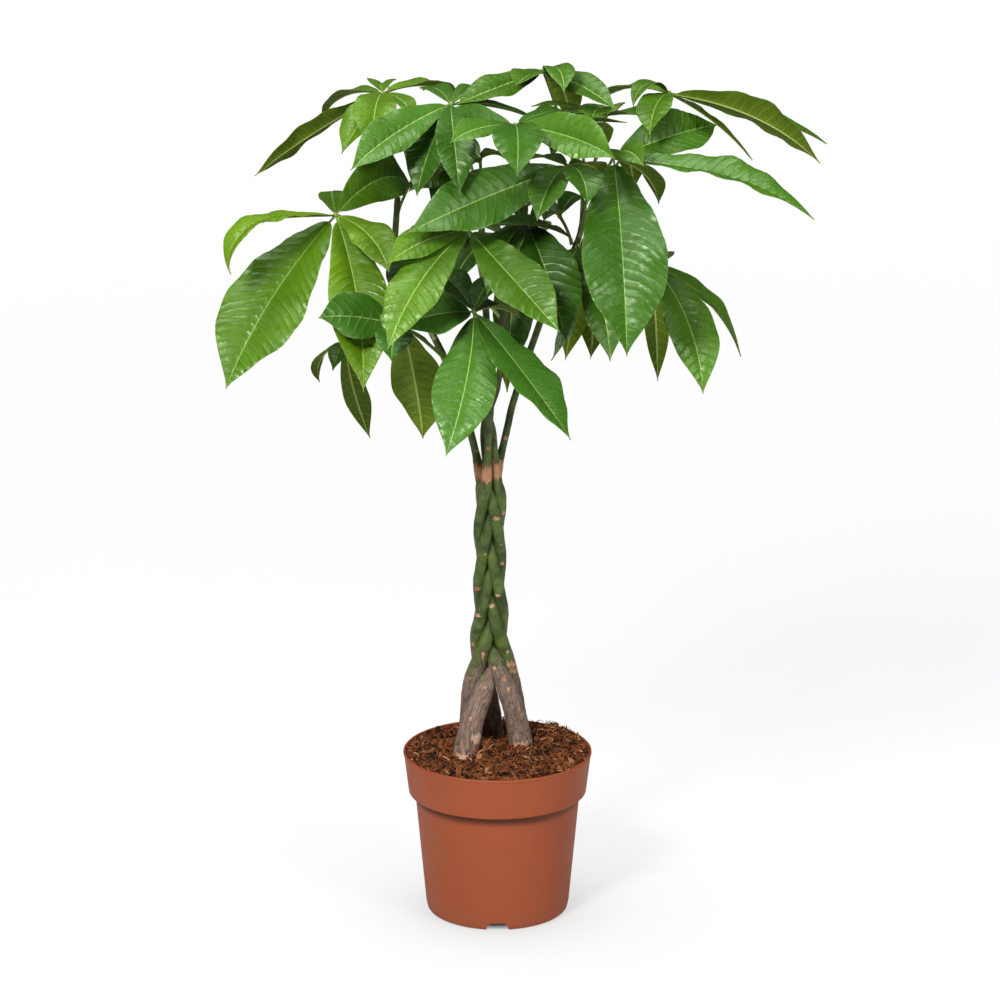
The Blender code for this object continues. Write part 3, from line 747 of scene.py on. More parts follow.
def path_curve(name, lines):
    """A curve object of poly splines; each line is its points, radii and turns."""
    curve = bpy.data.curves.new(name, "CURVE")
    curve.dimensions = "3D"
    curve.twist_mode = "MINIMUM"
    for points, radii, turns in lines:
        spline = curve.splines.new("POLY")
        spline.points.add(len(points) - 1)
        spline.points.foreach_set("co", np.column_stack([points, np.ones(len(points))]).ravel())
        spline.points.foreach_set("radius", np.asarray(radii, float))
        spline.points.foreach_set("tilt", np.broadcast_to(np.asarray(turns, float), len(points)))
    made = bpy.data.objects.new(name, curve)
    bpy.context.scene.collection.objects.link(made)
    return made


def grown_along(name, lines, tree, values):
    """A piece grown by a geometry tree along the lines, as a plain mesh."""
    path = path_curve(name + "_lines", lines)
    piece = add_piece(name, bpy.data.meshes.new(name))
    grow(piece, tree, {"Path": path, **values})
    bpy.data.objects.remove(path, do_unlink=True)
    return piece


def captured(geometry, **fields):
    """Captures fields at each point; gives the geometry, and each field as it was there."""
    tree = geometry.id_data
    made = put(tree, "GeometryNodeCaptureAttribute", {"Geometry": geometry}, domain="POINT")
    for i, (label, field) in enumerate(fields.items()):
        made.capture_items.new("VECTOR" if field.type == "VECTOR" else "FLOAT", label)
        tree.links.new(field, made.inputs[i + 1])
    return [made.outputs[i] for i in range(len(fields) + 1)]


def unit_ring(sides):
    inputs = {"Resolution": sides, "Radius": 1.0}
    return put(sides.id_data, "GeometryNodeCurvePrimitiveCircle", inputs).outputs[0]


def swept(path, section):
    """A solid with this section along a path, as wide as the path's radius says, with closed ends."""
    radius = put(path.id_data, "GeometryNodeInputRadius").outputs[0]
    inputs = {"Curve": path, "Profile Curve": section, "Scale": radius, "Fill Caps": True}
    return put(path.id_data, "GeometryNodeCurveToMesh", inputs).outputs[0]


def stem_nodes():
    """A stem along its path: round, a little dented, with fibrous ridges on its foot."""
    tree, ends = new_nodes("stem_along_path", {
        "Path": ("Object", None), "Sides": ("Int", STEM_SIDES), "Ring Gap": ("Float", STEM_RING_GAP),
        "Dents": ("Float", STEM_DENTS), "Ridges": ("Float", BARK_RIDGES),
        "Ridge Top": ("Float", BARK_RIDGE_TOP), "Material": ("Material", None)})
    place = put(tree, "GeometryNodeInputPosition").outputs[0]
    path = put(tree, "GeometryNodeObjectInfo", {"Object": ends["Path"]}).outputs["Geometry"]
    path = put(tree, "GeometryNodeResampleCurve",
               {"Curve": path, "Length": ends["Ring Gap"]}, mode="LENGTH").outputs[0]
    path, reach = captured(path, reach=put(tree, "GeometryNodeSplineParameter").outputs["Length"])
    ring, spot = captured(unit_ring(ends["Sides"]), spot=place)
    tube = swept(path, ring)
    around = parts_of(spot)
    grain_place = vector(around["X"], around["Y"], times(reach, 20.0))
    ridge_top = plus(ends["Ridge Top"], 0.02)
    ridge_full = minus(ends["Ridge Top"], 0.05)
    barky = ease(parts_of(place)["Z"], ridge_top, ridge_full)
    dents = times(minus(cloud(place, 70), 0.5), ends["Dents"])
    ridges = times(minus(cloud(grain_place, 5, detail=4), 0.5), ends["Ridges"])
    out = plus(dents, times(ridges, barky))
    normal = put(tree, "GeometryNodeInputNormal").outputs[0]
    tube = moved(tube, scaled(normal, times(out, 2.0)))
    end_nodes(store_field(tube, "grain", grain_place), ends["Material"])
    return tree


def strayed(value, patches, amount):
    """A value moved up and down from place to place, by as much as the amount from end to end."""
    return calc("MULTIPLY_ADD", minus(patches, 0.5), amount, value)


def bark_material():
    """Green young bark that turns grey-brown and fibrous towards the foot, with tan scars."""
    mat, tree, shader = new_material("young_bark", roughness=0.6, specular=0.3)
    place = object_place(tree)
    height = parts_of(place)["Z"]
    grain = stored(tree, "grain", "Vector")
    patchy = cloud(place, 55, detail=4)
    worn = cloud(place, 130, detail=5, roughness=0.7)
    streaks = cloud(grain, 7, detail=5, roughness=0.65)
    fine = cloud(grain, 22, detail=4, roughness=0.7)

    green = mix(ease(patchy, 0.3, 0.7), (0.015, 0.030, 0.004, 1), (0.092, 0.138, 0.020, 1))
    # Pale grey-green and dark patches along the grain: uneven young bark, and partly a painted sheen and
    # painted crevice shade, laid at random
    green = mix(ease(fine, 0.50, 0.30, 0, 0.45), green, (0.17, 0.23, 0.10, 1))
    green = mix(ease(fine, 0.60, 0.78, 0, 0.5), green, (0.032, 0.035, 0.010, 1))
    brown = mix(ease(streaks, 0.3, 0.7), (0.066, 0.040, 0.029, 1), (0.35, 0.245, 0.19, 1))
    brown = mix(ease(fine, 0.5, 0.75, 0, 0.7), brown, (0.42, 0.32, 0.265, 1))
    brown = mix(ease(worn, 0.50, 0.75, 0, 0.75), brown, (0.36, 0.185, 0.12, 1))
    brown = mix(ease(worn, 0.48, 0.30, 0, 0.8), brown, (0.075, 0.055, 0.045, 1))
    edge = strayed(strayed(stored(tree, "age"), patchy, 0.05), worn, 0.11)
    old = ease(edge, 0.010, -0.016)
    colour = mix(old, green, brown)

    ragged = strayed(stored(tree, "scar"), cloud(place, 500, detail=4), 1.0)
    ragged = strayed(ragged, cloud(grain, 6, detail=3), 1.3)
    scarred = ease(ragged, 0.42, 0.58)
    tan = mix(ease(worn, 0.35, 0.65), (0.27, 0.105, 0.045, 1), (0.66, 0.41, 0.26, 1))
    tan = mix(ease(height, 0.178, 0.166, 0, 0.8), tan, (0.80, 0.52, 0.38, 1))
    tan = mix(ease(height, 0.36, 0.395, 0, 0.7), tan, (0.36, 0.155, 0.070, 1))
    rim = times(ease(ragged, 0.30, 0.44), ease(ragged, 0.60, 0.46))
    colour = lay(colour, rim, 0.5, (0.060, 0.034, 0.020, 1))
    colour = lay(colour, scarred, 0.92, tan)

    dots = put(tree, "ShaderNodeTexVoronoi", {"Vector": place, "Scale": 210}).outputs[0]
    dot = times(ease(dots, 0.14, 0.06), ease(cloud(place, 90), 0.5, 0.6))
    colour = lay(colour, dot, 0.6, (0.42, 0.36, 0.22, 1))
    foot = ease(strayed(height, streaks, 0.06), 0.172, 0.158)
    torn = times(foot, ease(cloud(grain, 4.5, detail=4), 0.55, 0.62))
    colour = lay(colour, torn, 0.7, (0.58, 0.34, 0.21, 1))
    rough = mix(old, (0.45, 0.45, 0.45, 1), (0.8, 0.8, 0.8, 1))
    feed(shader, base_color=colour, roughness=rough)
    relief = times(plus(streaks, fine), calc("MULTIPLY_ADD", old, 0.8, 0.2))
    bump(shader, minus(relief, times(scarred, 0.35)), 0.7, 0.0012)
    return mat


def store_values(mesh, name, values):
    attribute = mesh.attributes.get(name) or mesh.attributes.new(name, "FLOAT", "POINT")
    attribute.data.foreach_set("value", np.asarray(values, np.float32))


def positions(mesh):
    spots = np.empty(len(mesh.vertices) * 3)
    mesh.vertices.foreach_get("co", spots)
    return spots.reshape(-1, 3)


def scar_field(spots, line, scars):
    """How deep in a scar each point of a stem is: 1 in the middle, 0.5 at its edge, 0 well outside."""
    field = np.zeros(len(spots))
    for height, heading, half_width, half_height in scars:
        middle = np.array([np.interp(height * MM, line[:, 2], line[:, axis]) for axis in range(2)])
        away = spots[:, :2] - middle
        off = np.degrees(np.arctan2(away[:, 1], away[:, 0])) - heading
        off = np.abs((off + 180) % 360 - 180)
        width = np.radians(off) * np.linalg.norm(away, axis=1) / (half_width * MM)
        tall = (spots[:, 2] - height * MM) / (half_height * MM)
        near = np.linalg.norm(away, axis=1) < 20 * MM
        field = np.maximum(field, np.exp(-0.7 * (width ** 2 + tall ** 2)) * near)
    return field


whole_stems, free_stems = stem_lines()
STEM_TREE = stem_nodes()
bark = bark_material()
for name, (points, radii) in whole_stems.items():
    stem = grown_along(name + "_stem", [(points, radii, 0)], STEM_TREE, {"Material": bark})
    spots = positions(stem.data)
    store_values(stem.data, "scar", scar_field(spots, points, SCARS[name]))
    store_values(stem.data, "age", spots[:, 2] - BROWN_FROM[name] * MM)
    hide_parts(name)
    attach(stem, "root")


# ---------------------------------------------------------------- leaves
# Compound leaves: leathery leaflets spread like fingers from the end of each leaf's own thin stalk. A blade
# is green tissue quilted between its side veins, folded a little along a pale midrib, with a drawn-out tip.

LEAFLET_THICKNESS = 0.5 * MM
LEAFLET_FOLD = math.radians(12)
# Each leaflet has its own share of the fold: the least, and how much more it may be
FOLD_LEAST = 0.35
FOLD_SPREAD = 1.3
LEAFLET_START = 1.2 * MM
LEAFLET_SHAPE = (1.2, 0.5, 0.85)
LEAFLET_STALK_HALF_WIDTH = 0.8 * MM
LEAFLET_TIP_HALF_WIDTH = 0.3 * MM
LEAFLET_BOW = 0.22
LEAFLET_TWIST = math.radians(20)
LEAFLET_CELLS = 32
LEAFLET_RING_GAP = 1.9 * MM
DROOP_POWER = 1.4
# How much closer a blade's cells are set towards its midrib
CELL_CROWDING = 1.35
VEIN_GAP = 8.6 * MM
# How far the side veins run towards the tip as they go outwards: evenly, and more and more
VEIN_SWEEP = (0.42, 0.30)
VEIN_STAGGER = 0.22
VEIN_STRAY = 0.9
QUILT_HEIGHT = 2.4 * MM
EDGE_WAVE = 1.6 * MM
EDGE_WAVE_LENGTH = 36 * MM
EDGE_RUFFLE = 0.5 * MM
# The midrib's half width and height underneath, and the furrow's half width and depth on top
RIB = (1.1 * MM, 1.1 * MM)
RIB_TIP_HEIGHT = 0.2 * MM
FURROW = (1.2 * MM, 0.4 * MM)
STEM_END_PLACE = 0.96
STALK_CLEAR = 0.3 * MM
STALK_RADIUS = 1.3 * MM
# The stalk's bend: how far along it is, and how high over the straight line, as shares of its length
STALK_BEND = 0.45
STALK_LIFT = 0.1
# How much thicker the stalk is at its hub and at its start, and the length over which that fades
STALK_SWELLS = ((0.45, 5 * MM), (0.5, 4 * MM))
STALK_SIDES = 12
STALK_RINGS = 28
KNOB_RADIUS = 2.3 * MM
# The knob's rings, in degrees up from its middle
KNOB_RINGS = [-50, -20, 15, 50, 82]
# Leaves near this point are painted darker, a painted shade inside the crown
CROWN_MIDDLE = (0.02, 0.02, 0.63)

# How each leaf is tinted, from 0 (dusty blue-green) to 1 (yellow-green), where it isn't middling
TINTS = {
    "leaf_01": 0.75, "leaf_02": 0.18, "leaf_03": 1.0, "leaf_04": 0.35, "leaf_05": 0.7,
    "leaf_06": 0.33, "leaf_07": 0.3, "leaf_08": 0.25, "leaf_11": 0.62, "leaf_12": 0.12,
    "leaf_13": 0.3, "leaf_15": 0.4, "leaf_17": 0.25}

# Each leaf: hub in millimetres, the stem it grows from, how far up that free stem, and its leaflets as
# (heading, rise, droop, length, width, roll) in degrees and millimetres. A seventh number sets how late
# along the leaflet the droop comes.
LEAVES = {
    "leaf_01": ((-100, 20, 750), "trunk_1", 1.0, [
        (215, -20, 6, 145, 32, 50), (140, 0, 60, 82, 28, 0), (90, 4, 30, 80, 26, 0),
        (35, 10, 50, 85, 28, 0), (245, -10, 45, 85, 34, 0), (265, 5, 60, 100, 38, 0),
        (300, 5, 40, 62, 18, 0)]),
    "leaf_02": ((-40, -50, 755), "trunk_2", 1.0, [
        (225, -10, 20, 125, 38, -35), (240, -35, 40, 90, 36, 0), (65, 15, 30, 60, 22, 0),
        (110, 15, 40, 70, 26, 0), (275, -10, 70, 105, 34, 0), (25, -5, 25, 85, 22, 0)]),
    "leaf_03": ((-140, -40, 655), "trunk_1", 0.72, [
        (225, 8, 125, 150, 36, 0, 4), (228, -36, 14, 190, 74, -22), (285, -35, 35, 172, 54, 0),
        (305, -6, 35, 95, 38, 10), (50, 35, 75, 110, 44, 60), (95, 15, 30, 75, 24, 0)]),
    "leaf_04": ((40, 20, 770), "trunk_5", 1.0, [
        (225, -5, 8, 105, 32, -30), (40, -8, 50, 75, 26, 10), (310, 0, 30, 95, 30, 20),
        (250, 8, 20, 70, 28, 0), (285, 22, 60, 80, 26, 0), (65, -15, 80, 90, 30, 0)]),
    "leaf_05": ((150, 20, 750), "trunk_5", 0.95, [
        (230, 40, 110, 62, 16, 0), (135, 5, 45, 90, 26, 0), (256, 6, 45, 90, 32, 0),
        (10, -15, 20, 152, 34, -5, 3), (330, -5, 28, 158, 36, -60), (315, -14, 25, 108, 28, -30)]),
    "leaf_06": ((100, -60, 710), "trunk_5", 0.85, [
        (35, 15, 20, 115, 46, 45), (335, 1, 38, 190, 40, 15, 2), (275, -35, 45, 188, 74, 0),
        (290, 30, 60, 70, 26, 30), (75, 5, 90, 95, 30, 0), (45, -20, 50, 80, 26, 0)]),
    "leaf_07": ((15, -90, 745), "trunk_3", 1.0, [
        (150, 5, 20, 80, 28, -40), (225, 10, 30, 78, 26, -20), (320, 0, 15, 112, 40, 40),
        (20, 0, 6, 100, 22, 0), (46, 16, 60, 90, 34, 0), (272, 10, 70, 88, 44, 0)]),
    "leaf_08": ((60, -70, 705), "trunk_3", 0.9, [
        (210, -10, 12, 160, 52, -55), (285, 10, 60, 75, 34, 0), (250, 5, 70, 85, 34, 0),
        (55, 0, 50, 60, 26, 0), (125, 10, 40, 60, 24, 0)]),
    "leaf_09": ((-15, 30, 690), "trunk_2", 0.9, [
        (128, 25, 40, 60, 28, 0), (230, 5, 30, 100, 38, -40), (240, 20, 50, 70, 34, -30),
        (300, 25, 60, 70, 30, 0)]),
    "leaf_10": ((95, 0, 735), "trunk_5", 0.9, [
        (210, 20, 20, 78, 16, 0), (318, 14, 30, 66, 26, 0), (255, 30, 60, 60, 26, 0),
        (135, 10, 60, 60, 24, 0)]),
    "leaf_11": ((-25, -95, 655), "trunk_2", 0.7, [
        (220, 0, 25, 92, 30, -45), (235, -15, 50, 145, 46, -10), (30, 5, 40, 108, 28, 10),
        (310, -25, 12, 135, 48, 25), (150, 5, 30, 60, 24, 0)]),
    "leaf_12": ((-20, -105, 585), "trunk_2", 0.45, [
        (225, 10, 20, 92, 42, -45), (260, -35, 20, 145, 54, 0), (307, -26, 15, 158, 52, 0),
        (120, 25, 20, 84, 36, 0), (55, 0, 40, 70, 26, 0), (70, 30, 30, 60, 24, 0),
        (45, -40, 60, 90, 26, 0)]),
    "leaf_13": ((25, -40, 650), "trunk_3", 0.78, [
        (290, -20, 60, 130, 52, 0), (325, -45, 80, 135, 38, 0), (245, -5, 70, 95, 34, 0),
        (110, 15, 40, 60, 26, 0)]),
    "leaf_14": ((70, -30, 625), "trunk_5", 0.72, [
        (290, -25, 50, 120, 40, 0), (62, -50, 70, 115, 34, 0), (105, -62, 40, 112, 30, 0),
        (260, -10, 60, 100, 34, 0)]),
    "leaf_15": ((135, -15, 605), "trunk_5", 0.6, [
        (297, -20, 60, 140, 46, 0), (25, -28, 45, 130, 28, 40), (75, -60, 50, 115, 22, 0),
        (80, 10, 60, 70, 26, 0), (260, -10, 60, 80, 28, 0)]),
    "leaf_16": ((-135, 20, 525), "trunk_1", 0.6, [
        (155, -20, 90, 52, 24, 0), (65, -65, 5, 105, 24, 0), (60, -15, 60, 60, 24, 0),
        (260, 15, 80, 50, 20, 0)]),
    "leaf_17": ((-81, -116, 575), "trunk_1", 0.45, [
        (205, 20, 20, 80, 46, -50), (260, 5, 50, 60, 32, 0), (60, -70, 5, 113, 50, -30),
        (10, -35, 30, 80, 36, 0)]),
    "leaf_18": ((55, 40, 635), "trunk_5", 0.8, [
        (125, 20, 50, 50, 24, 0), (250, 30, 60, 40, 20, 0), (70, 25, 50, 60, 24, 0)]),
    "leaf_19": ((-60, 120, 675), "trunk_1", 0.93, [
        (292, -20, 60, 110, 40, 0), (262, 25, 70, 95, 34, 0), (105, 15, 50, 90, 32, 0),
        (75, 20, 50, 90, 32, 0)]),
    "leaf_20": ((78, 120, 695), "trunk_5", 0.9, [
        (250, 20, 60, 90, 34, 0), (80, 5, 90, 95, 34, 0), (108, 15, 50, 90, 32, 0),
        (68, 20, 50, 90, 32, 0)]),
    "leaf_21": ((5, 115, 600), "trunk_4", 0.9, [
        (245, 15, 70, 110, 38, 0), (305, 5, 70, 110, 38, 0), (275, -45, 50, 130, 38, 0),
        (90, -20, 90, 110, 38, 0), (118, 10, 50, 90, 32, 0), (62, 10, 50, 90, 32, 0)]),
    "leaf_22": ((115, 98, 613), "trunk_5", 0.66, [
        (245, 5, 60, 95, 34, 0), (285, -10, 70, 90, 34, 0), (90, -15, 90, 100, 34, 0),
        (95, 15, 50, 90, 32, 0)]),
    "leaf_23": ((-65, 60, 595), "trunk_4", 0.75, [
        (255, 10, 60, 95, 34, 0), (285, 0, 70, 95, 34, 0), (90, -15, 90, 100, 34, 0),
        (110, 10, 50, 80, 30, 0), (68, 15, 50, 80, 30, 0)]),
}


def unit(arrow):
    return arrow / np.linalg.norm(arrow)


def midrib(length, heading, rise, droop, late):
    """Points along a leaflet that sets out at a rise and droops towards its tip."""
    steps = max(12, round(length / LEAFLET_RING_GAP))
    middle = (np.arange(steps) + 0.5) / steps
    slope = np.radians(rise - droop * middle ** late)
    along = np.stack([np.cos(slope) * math.cos(heading), np.cos(slope) * math.sin(heading),
                      np.sin(slope)], axis=1)
    return np.vstack([[0, 0, 0], np.cumsum(along, axis=0)]) * length / steps


def blade_half_width(place, width):
    """Half the blade's width: a wedge at the stalk, widest past the middle, drawn out to a point."""
    skew, blunt, sharpen = LEAFLET_SHAPE
    run = np.clip((place - 0.04) / 0.96, 0, 0.9999)
    shape = np.sin(math.pi * run ** skew) ** (blunt + sharpen * run)
    least = np.interp(place, [0, 0.1, 0.9, 1],
                      [LEAFLET_STALK_HALF_WIDTH] * 2 + [LEAFLET_TIP_HALF_WIDTH] * 2)
    return np.maximum(width / 2 * shape, least)


def leaflet_line(hub, leaflet, rng):
    """A leaflet's midrib, half widths and roll; it bows sideways and twists a little as it grows."""
    heading, rise, droop, length, width, roll, *late = leaflet
    heading = math.radians(heading)
    points = midrib(length * MM, heading, rise, droop, late[0] if late else DROOP_POWER)
    place = np.linspace(0, 1, len(points))
    start = unit(points[1] - points[0]) * LEAFLET_START
    side = np.array([-math.sin(heading), math.cos(heading), 0])
    bow = rng.uniform(-1, 1) * LEAFLET_BOW * length * MM * (place ** 2 - 0.8 * place)
    twist = rng.uniform(-1, 1) * LEAFLET_TWIST * place ** 2
    points = points + np.array(hub) * MM + start + bow[:, None] * side
    return points, blade_half_width(place, width * MM), math.radians(roll) + twist


def stalk_line(hub, line, radii, place):
    """The leaf's own stalk: from its stem, or the stem's end, out and up to the hub, where it swells."""
    spot = place * (len(line) - 1)
    low = min(int(spot), len(line) - 2)
    along = line[low + 1] - line[low]
    seat = line[low] + along * (spot - low)
    along = unit(along)
    hub = np.array(hub) * MM
    reach = hub - seat
    bend = seat + STALK_BEND * reach + np.array([0, 0, STALK_LIFT * np.linalg.norm(reach)])
    heading = unit(bend - seat)
    away = along
    clear = STALK_CLEAR
    if place <= STEM_END_PLACE:
        away = unit(heading - along * (heading @ along))
        clear += radii[low] + (radii[low + 1] - radii[low]) * (spot - low)
    lean = math.sqrt(max(0, 1 - (away @ heading) ** 2))
    start = seat + away * (clear + STALK_RADIUS * lean)
    t = np.linspace(0, 1, STALK_RINGS)[:, None]
    points = (1 - t) ** 2 * start + 2 * t * (1 - t) * bend + t ** 2 * hub
    dome = np.radians(KNOB_RINGS)
    knob = hub + unit(points[-1] - points[-2]) * KNOB_RADIUS * np.sin(dome)[:, None]
    stalk = points[:-2]
    swell = 0
    for middle, (much, fade) in zip((hub, start), STALK_SWELLS):
        swell = swell + much * np.exp(-np.linalg.norm(stalk - middle, axis=1) / fade)
    stalk_radii = STALK_RADIUS * (1 + swell)
    return np.vstack([stalk, knob]), np.concatenate([stalk_radii, KNOB_RADIUS * np.cos(dome)]), 0


def pillowed(vein, power):
    """The swell between a blade's side veins: 0 on each vein and 1 halfway to the next."""
    wave = calc("SINE", times(vein, math.pi))
    return calc("POWER", calc("ABSOLUTE", wave), power)


def ridged(reach, half_width):
    """A ridge along the midrib: 1 on it, and falling away over a half width on both sides."""
    share = calc("POWER", calc("DIVIDE", reach, half_width), 2.0)
    return calc("EXPONENT", times(share, -1.0))


def leaf_nodes():
    """A whole leaf from its lines: the first is the stalk, and each of the others is a leaflet's midrib."""
    tree, ends = new_nodes("compound_leaf", {
        "Path": ("Object", None), "Cells": ("Int", LEAFLET_CELLS), "Stalk Sides": ("Int", STALK_SIDES),
        "Thickness": ("Float", LEAFLET_THICKNESS), "Fold": ("Float", math.sin(LEAFLET_FOLD)),
        "Vein Gap": ("Float", VEIN_GAP), "Quilt": ("Float", QUILT_HEIGHT), "Wave": ("Float", EDGE_WAVE),
        "Seed": ("Int", 1), "Stalk Material": ("Material", None), "Top Material": ("Material", None),
        "Underside Material": ("Material", None)})
    place = put(tree, "GeometryNodeInputPosition").outputs[0]
    index = put(tree, "GeometryNodeInputIndex").outputs[0]
    paths = put(tree, "GeometryNodeObjectInfo", {"Object": ends["Path"]}).outputs["Geometry"]
    inputs = {"Geometry": paths, "Selection": calc("LESS_THAN", index, 0.5)}
    parted = put(tree, "GeometryNodeSeparateGeometry", inputs, domain="CURVE").outputs
    stalk = swept(parted[0], unit_ring(ends["Stalk Sides"]))

    # A blade's section is a flat loop, closer set towards the midrib, that goes over and back under it
    spline = put(tree, "GeometryNodeSplineParameter").outputs
    tangent = put(tree, "GeometryNodeInputTangent").outputs[0]
    lean = put(tree, "GeometryNodeInputNormal").outputs[0]
    curve = put(tree, "GeometryNodeCurveOfPoint").outputs["Curve Index"]
    path, along, run, half, up, luck = captured(
        parted[1], along=spline["Length"], run=spline["Factor"],
        half=put(tree, "GeometryNodeInputRadius").outputs[0],
        up=vector_calc("CROSS_PRODUCT", lean, tangent), luck=chance(0.0, 1.0, ends["Seed"], curve))
    spot = parts_of(place)
    closer = calc("POWER", calc("ABSOLUTE", spot["X"]), CELL_CROWDING)
    loop, across, side = captured(
        unit_ring(ends["Cells"]), across=times(closer, calc("SIGN", spot["X"])),
        side=calc("SIGN", calc("ROUND", times(spot["Y"], 1000.0))))
    inputs = {"Geometry": loop, "Position": vector(across)}
    blade = swept(path, put(tree, "GeometryNodeSetPosition", inputs).outputs[0])

    # Side veins leave the midrib by turns, bend towards the tip, and stray a little
    out = calc("ABSOLUTE", across)
    left_or_right = calc("SIGN", across)
    reach = times(out, half)
    bend = times(out, out, times(half, VEIN_SWEEP[1]))
    back = minus(minus(along, times(reach, VEIN_SWEEP[0])), bend)
    number = calc("DIVIDE", back, ends["Vein Gap"])
    staggered = calc("MULTIPLY_ADD", left_or_right, VEIN_STAGGER, number)
    vein = plus(calc("MULTIPLY_ADD", cloud(place, 45, detail=1), VEIN_STRAY, staggered), luck)

    # The quilting between the veins, flatter at the midrib, at the edge and on narrow blades
    wide = ease(half, 0.006, 0.02, 0.15, 1.0)
    fade = times(ease(out, 0.0, 0.35), ease(out, 1.05, 0.7, 0.35, 1.0))
    strong = times(wide, calc("MULTIPLY_ADD", luck, 0.9, 0.45), ease(run, 0.08, 0.6, 0.45, 1.1))
    quilt = times(pillowed(vein, 0.75), fade, times(strong, ends["Quilt"]))

    # Long waves and a short ruffle along the edge, and the fold along the midrib
    turns = calc("MULTIPLY_ADD", luck, 40.0, times(along, 2 * math.pi / EDGE_WAVE_LENGTH))
    opposed = calc("MULTIPLY_ADD", left_or_right, 1.1, turns)
    sway = plus(calc("SINE", opposed), calc("SINE", times(turns, 0.41)))
    wave = times(sway, calc("POWER", out, 2.0), times(ends["Wave"], wide))
    ripple = calc("COSINE", times(vein, 2 * math.pi))
    ruffle = times(calc("POWER", out, 3.0), times(wide, EDGE_RUFFLE), ripple)
    crease = calc("MULTIPLY_ADD", calc("FRACT", times(luck, 7.3)), FOLD_SPREAD, FOLD_LEAST)
    rise = times(reach, ends["Fold"], crease)

    # The midrib stands out underneath, in a furrow on top
    tapered = ease(run, 1.0, 0.0, RIB_TIP_HEIGHT, RIB[1])
    rib = times(ridged(reach, RIB[0]), tapered, calc("LESS_THAN", side, -0.5))
    furrow = times(ridged(reach, FURROW[0]), times(wide, -FURROW[1]))
    skin = times(side, times(ends["Thickness"], 0.5))
    lift = plus(rise, quilt, plus(wave, ruffle), skin, minus(furrow, rib))
    blade = moved(blade, scaled(up, lift))
    blade = store_field(blade, "blade", vector(along, across, half))
    blade = store_field(blade, "vein", vein)
    blade = store_field(blade, "luck", luck)
    blade = store_field(blade, "side", side, "FACE")

    whole = tree.nodes.new("GeometryNodeJoinGeometry")
    tree.links.new(stalk, whole.inputs[0])
    tree.links.new(blade, whole.inputs[0])
    whole = put(tree, "GeometryNodeRealizeInstances", {"Geometry": whole.outputs[0]}).outputs[0]
    face = put(tree, "GeometryNodeInputNamedAttribute", {"Name": "side"}, data_type="FLOAT").outputs[0]
    finishes = {"Stalk Material": calc("COMPARE", face, 0.0, 0.01),
                "Top Material": calc("GREATER_THAN", face, 0.01),
                "Underside Material": calc("LESS_THAN", face, -0.01)}
    for label, chosen in finishes.items():
        inputs = {"Geometry": whole, "Selection": chosen, "Material": ends[label]}
        whole = put(tree, "GeometryNodeSetMaterial", inputs).outputs[0]
    put(tree, "NodeGroupOutput", {0: whole})
    return tree


def make_venation():
    """Shader group with masks for a blade's midrib, side veins, the fine net between them, and its edge."""
    group = bpy.data.node_groups.new("venation", "ShaderNodeTree")
    ends = name_inputs(group, {
        "Blade": ("Vector", None), "Vein": ("Float", None), "Place": ("Vector", None),
        "Midrib Width": ("Float", None), "Vein Width": ("Float", None)})
    for name in ("Midrib", "Veins", "Net", "Edge"):
        group.interface.new_socket(name, in_out="OUTPUT", socket_type="NodeSocketFloat")
    across, half = parts_of(ends["Blade"])[1:]
    out = calc("ABSOLUTE", across)
    narrow = ease(half, 0.002, 0.012, 0.35, 1.0)
    share = calc("DIVIDE", times(out, half), times(ends["Midrib Width"], narrow))
    away = calc("PINGPONG", ends["Vein"], 0.5)
    thin = times(ends["Vein Width"], ease(out, 0.0, 1.0, 1.0, 0.35))
    veins = ease(calc("DIVIDE", away, thin), 1.3, 0.5)
    net = put(group, "ShaderNodeTexVoronoi", {"Vector": ends["Place"], "Scale": 700},
              feature="DISTANCE_TO_EDGE").outputs[0]
    to_edge = times(minus(1.0, out), half)
    put(group, "NodeGroupOutput", {
        "Midrib": ease(share, 1.15, 0.75),
        "Veins": times(veins, ease(out, 1.0, 0.86)),
        "Net": ease(net, 0.0, 0.12),
        "Edge": ease(to_edge, 0.0006, 0.0002)})
    return group


VENATION = make_venation()


def venation(tree, midrib_width, vein_width):
    return put(tree, "ShaderNodeGroup", {
        "Blade": stored(tree, "blade", "Vector"), "Vein": stored(tree, "vein"),
        "Place": object_place(tree), "Midrib Width": midrib_width, "Vein Width": vein_width},
        node_tree=VENATION).outputs


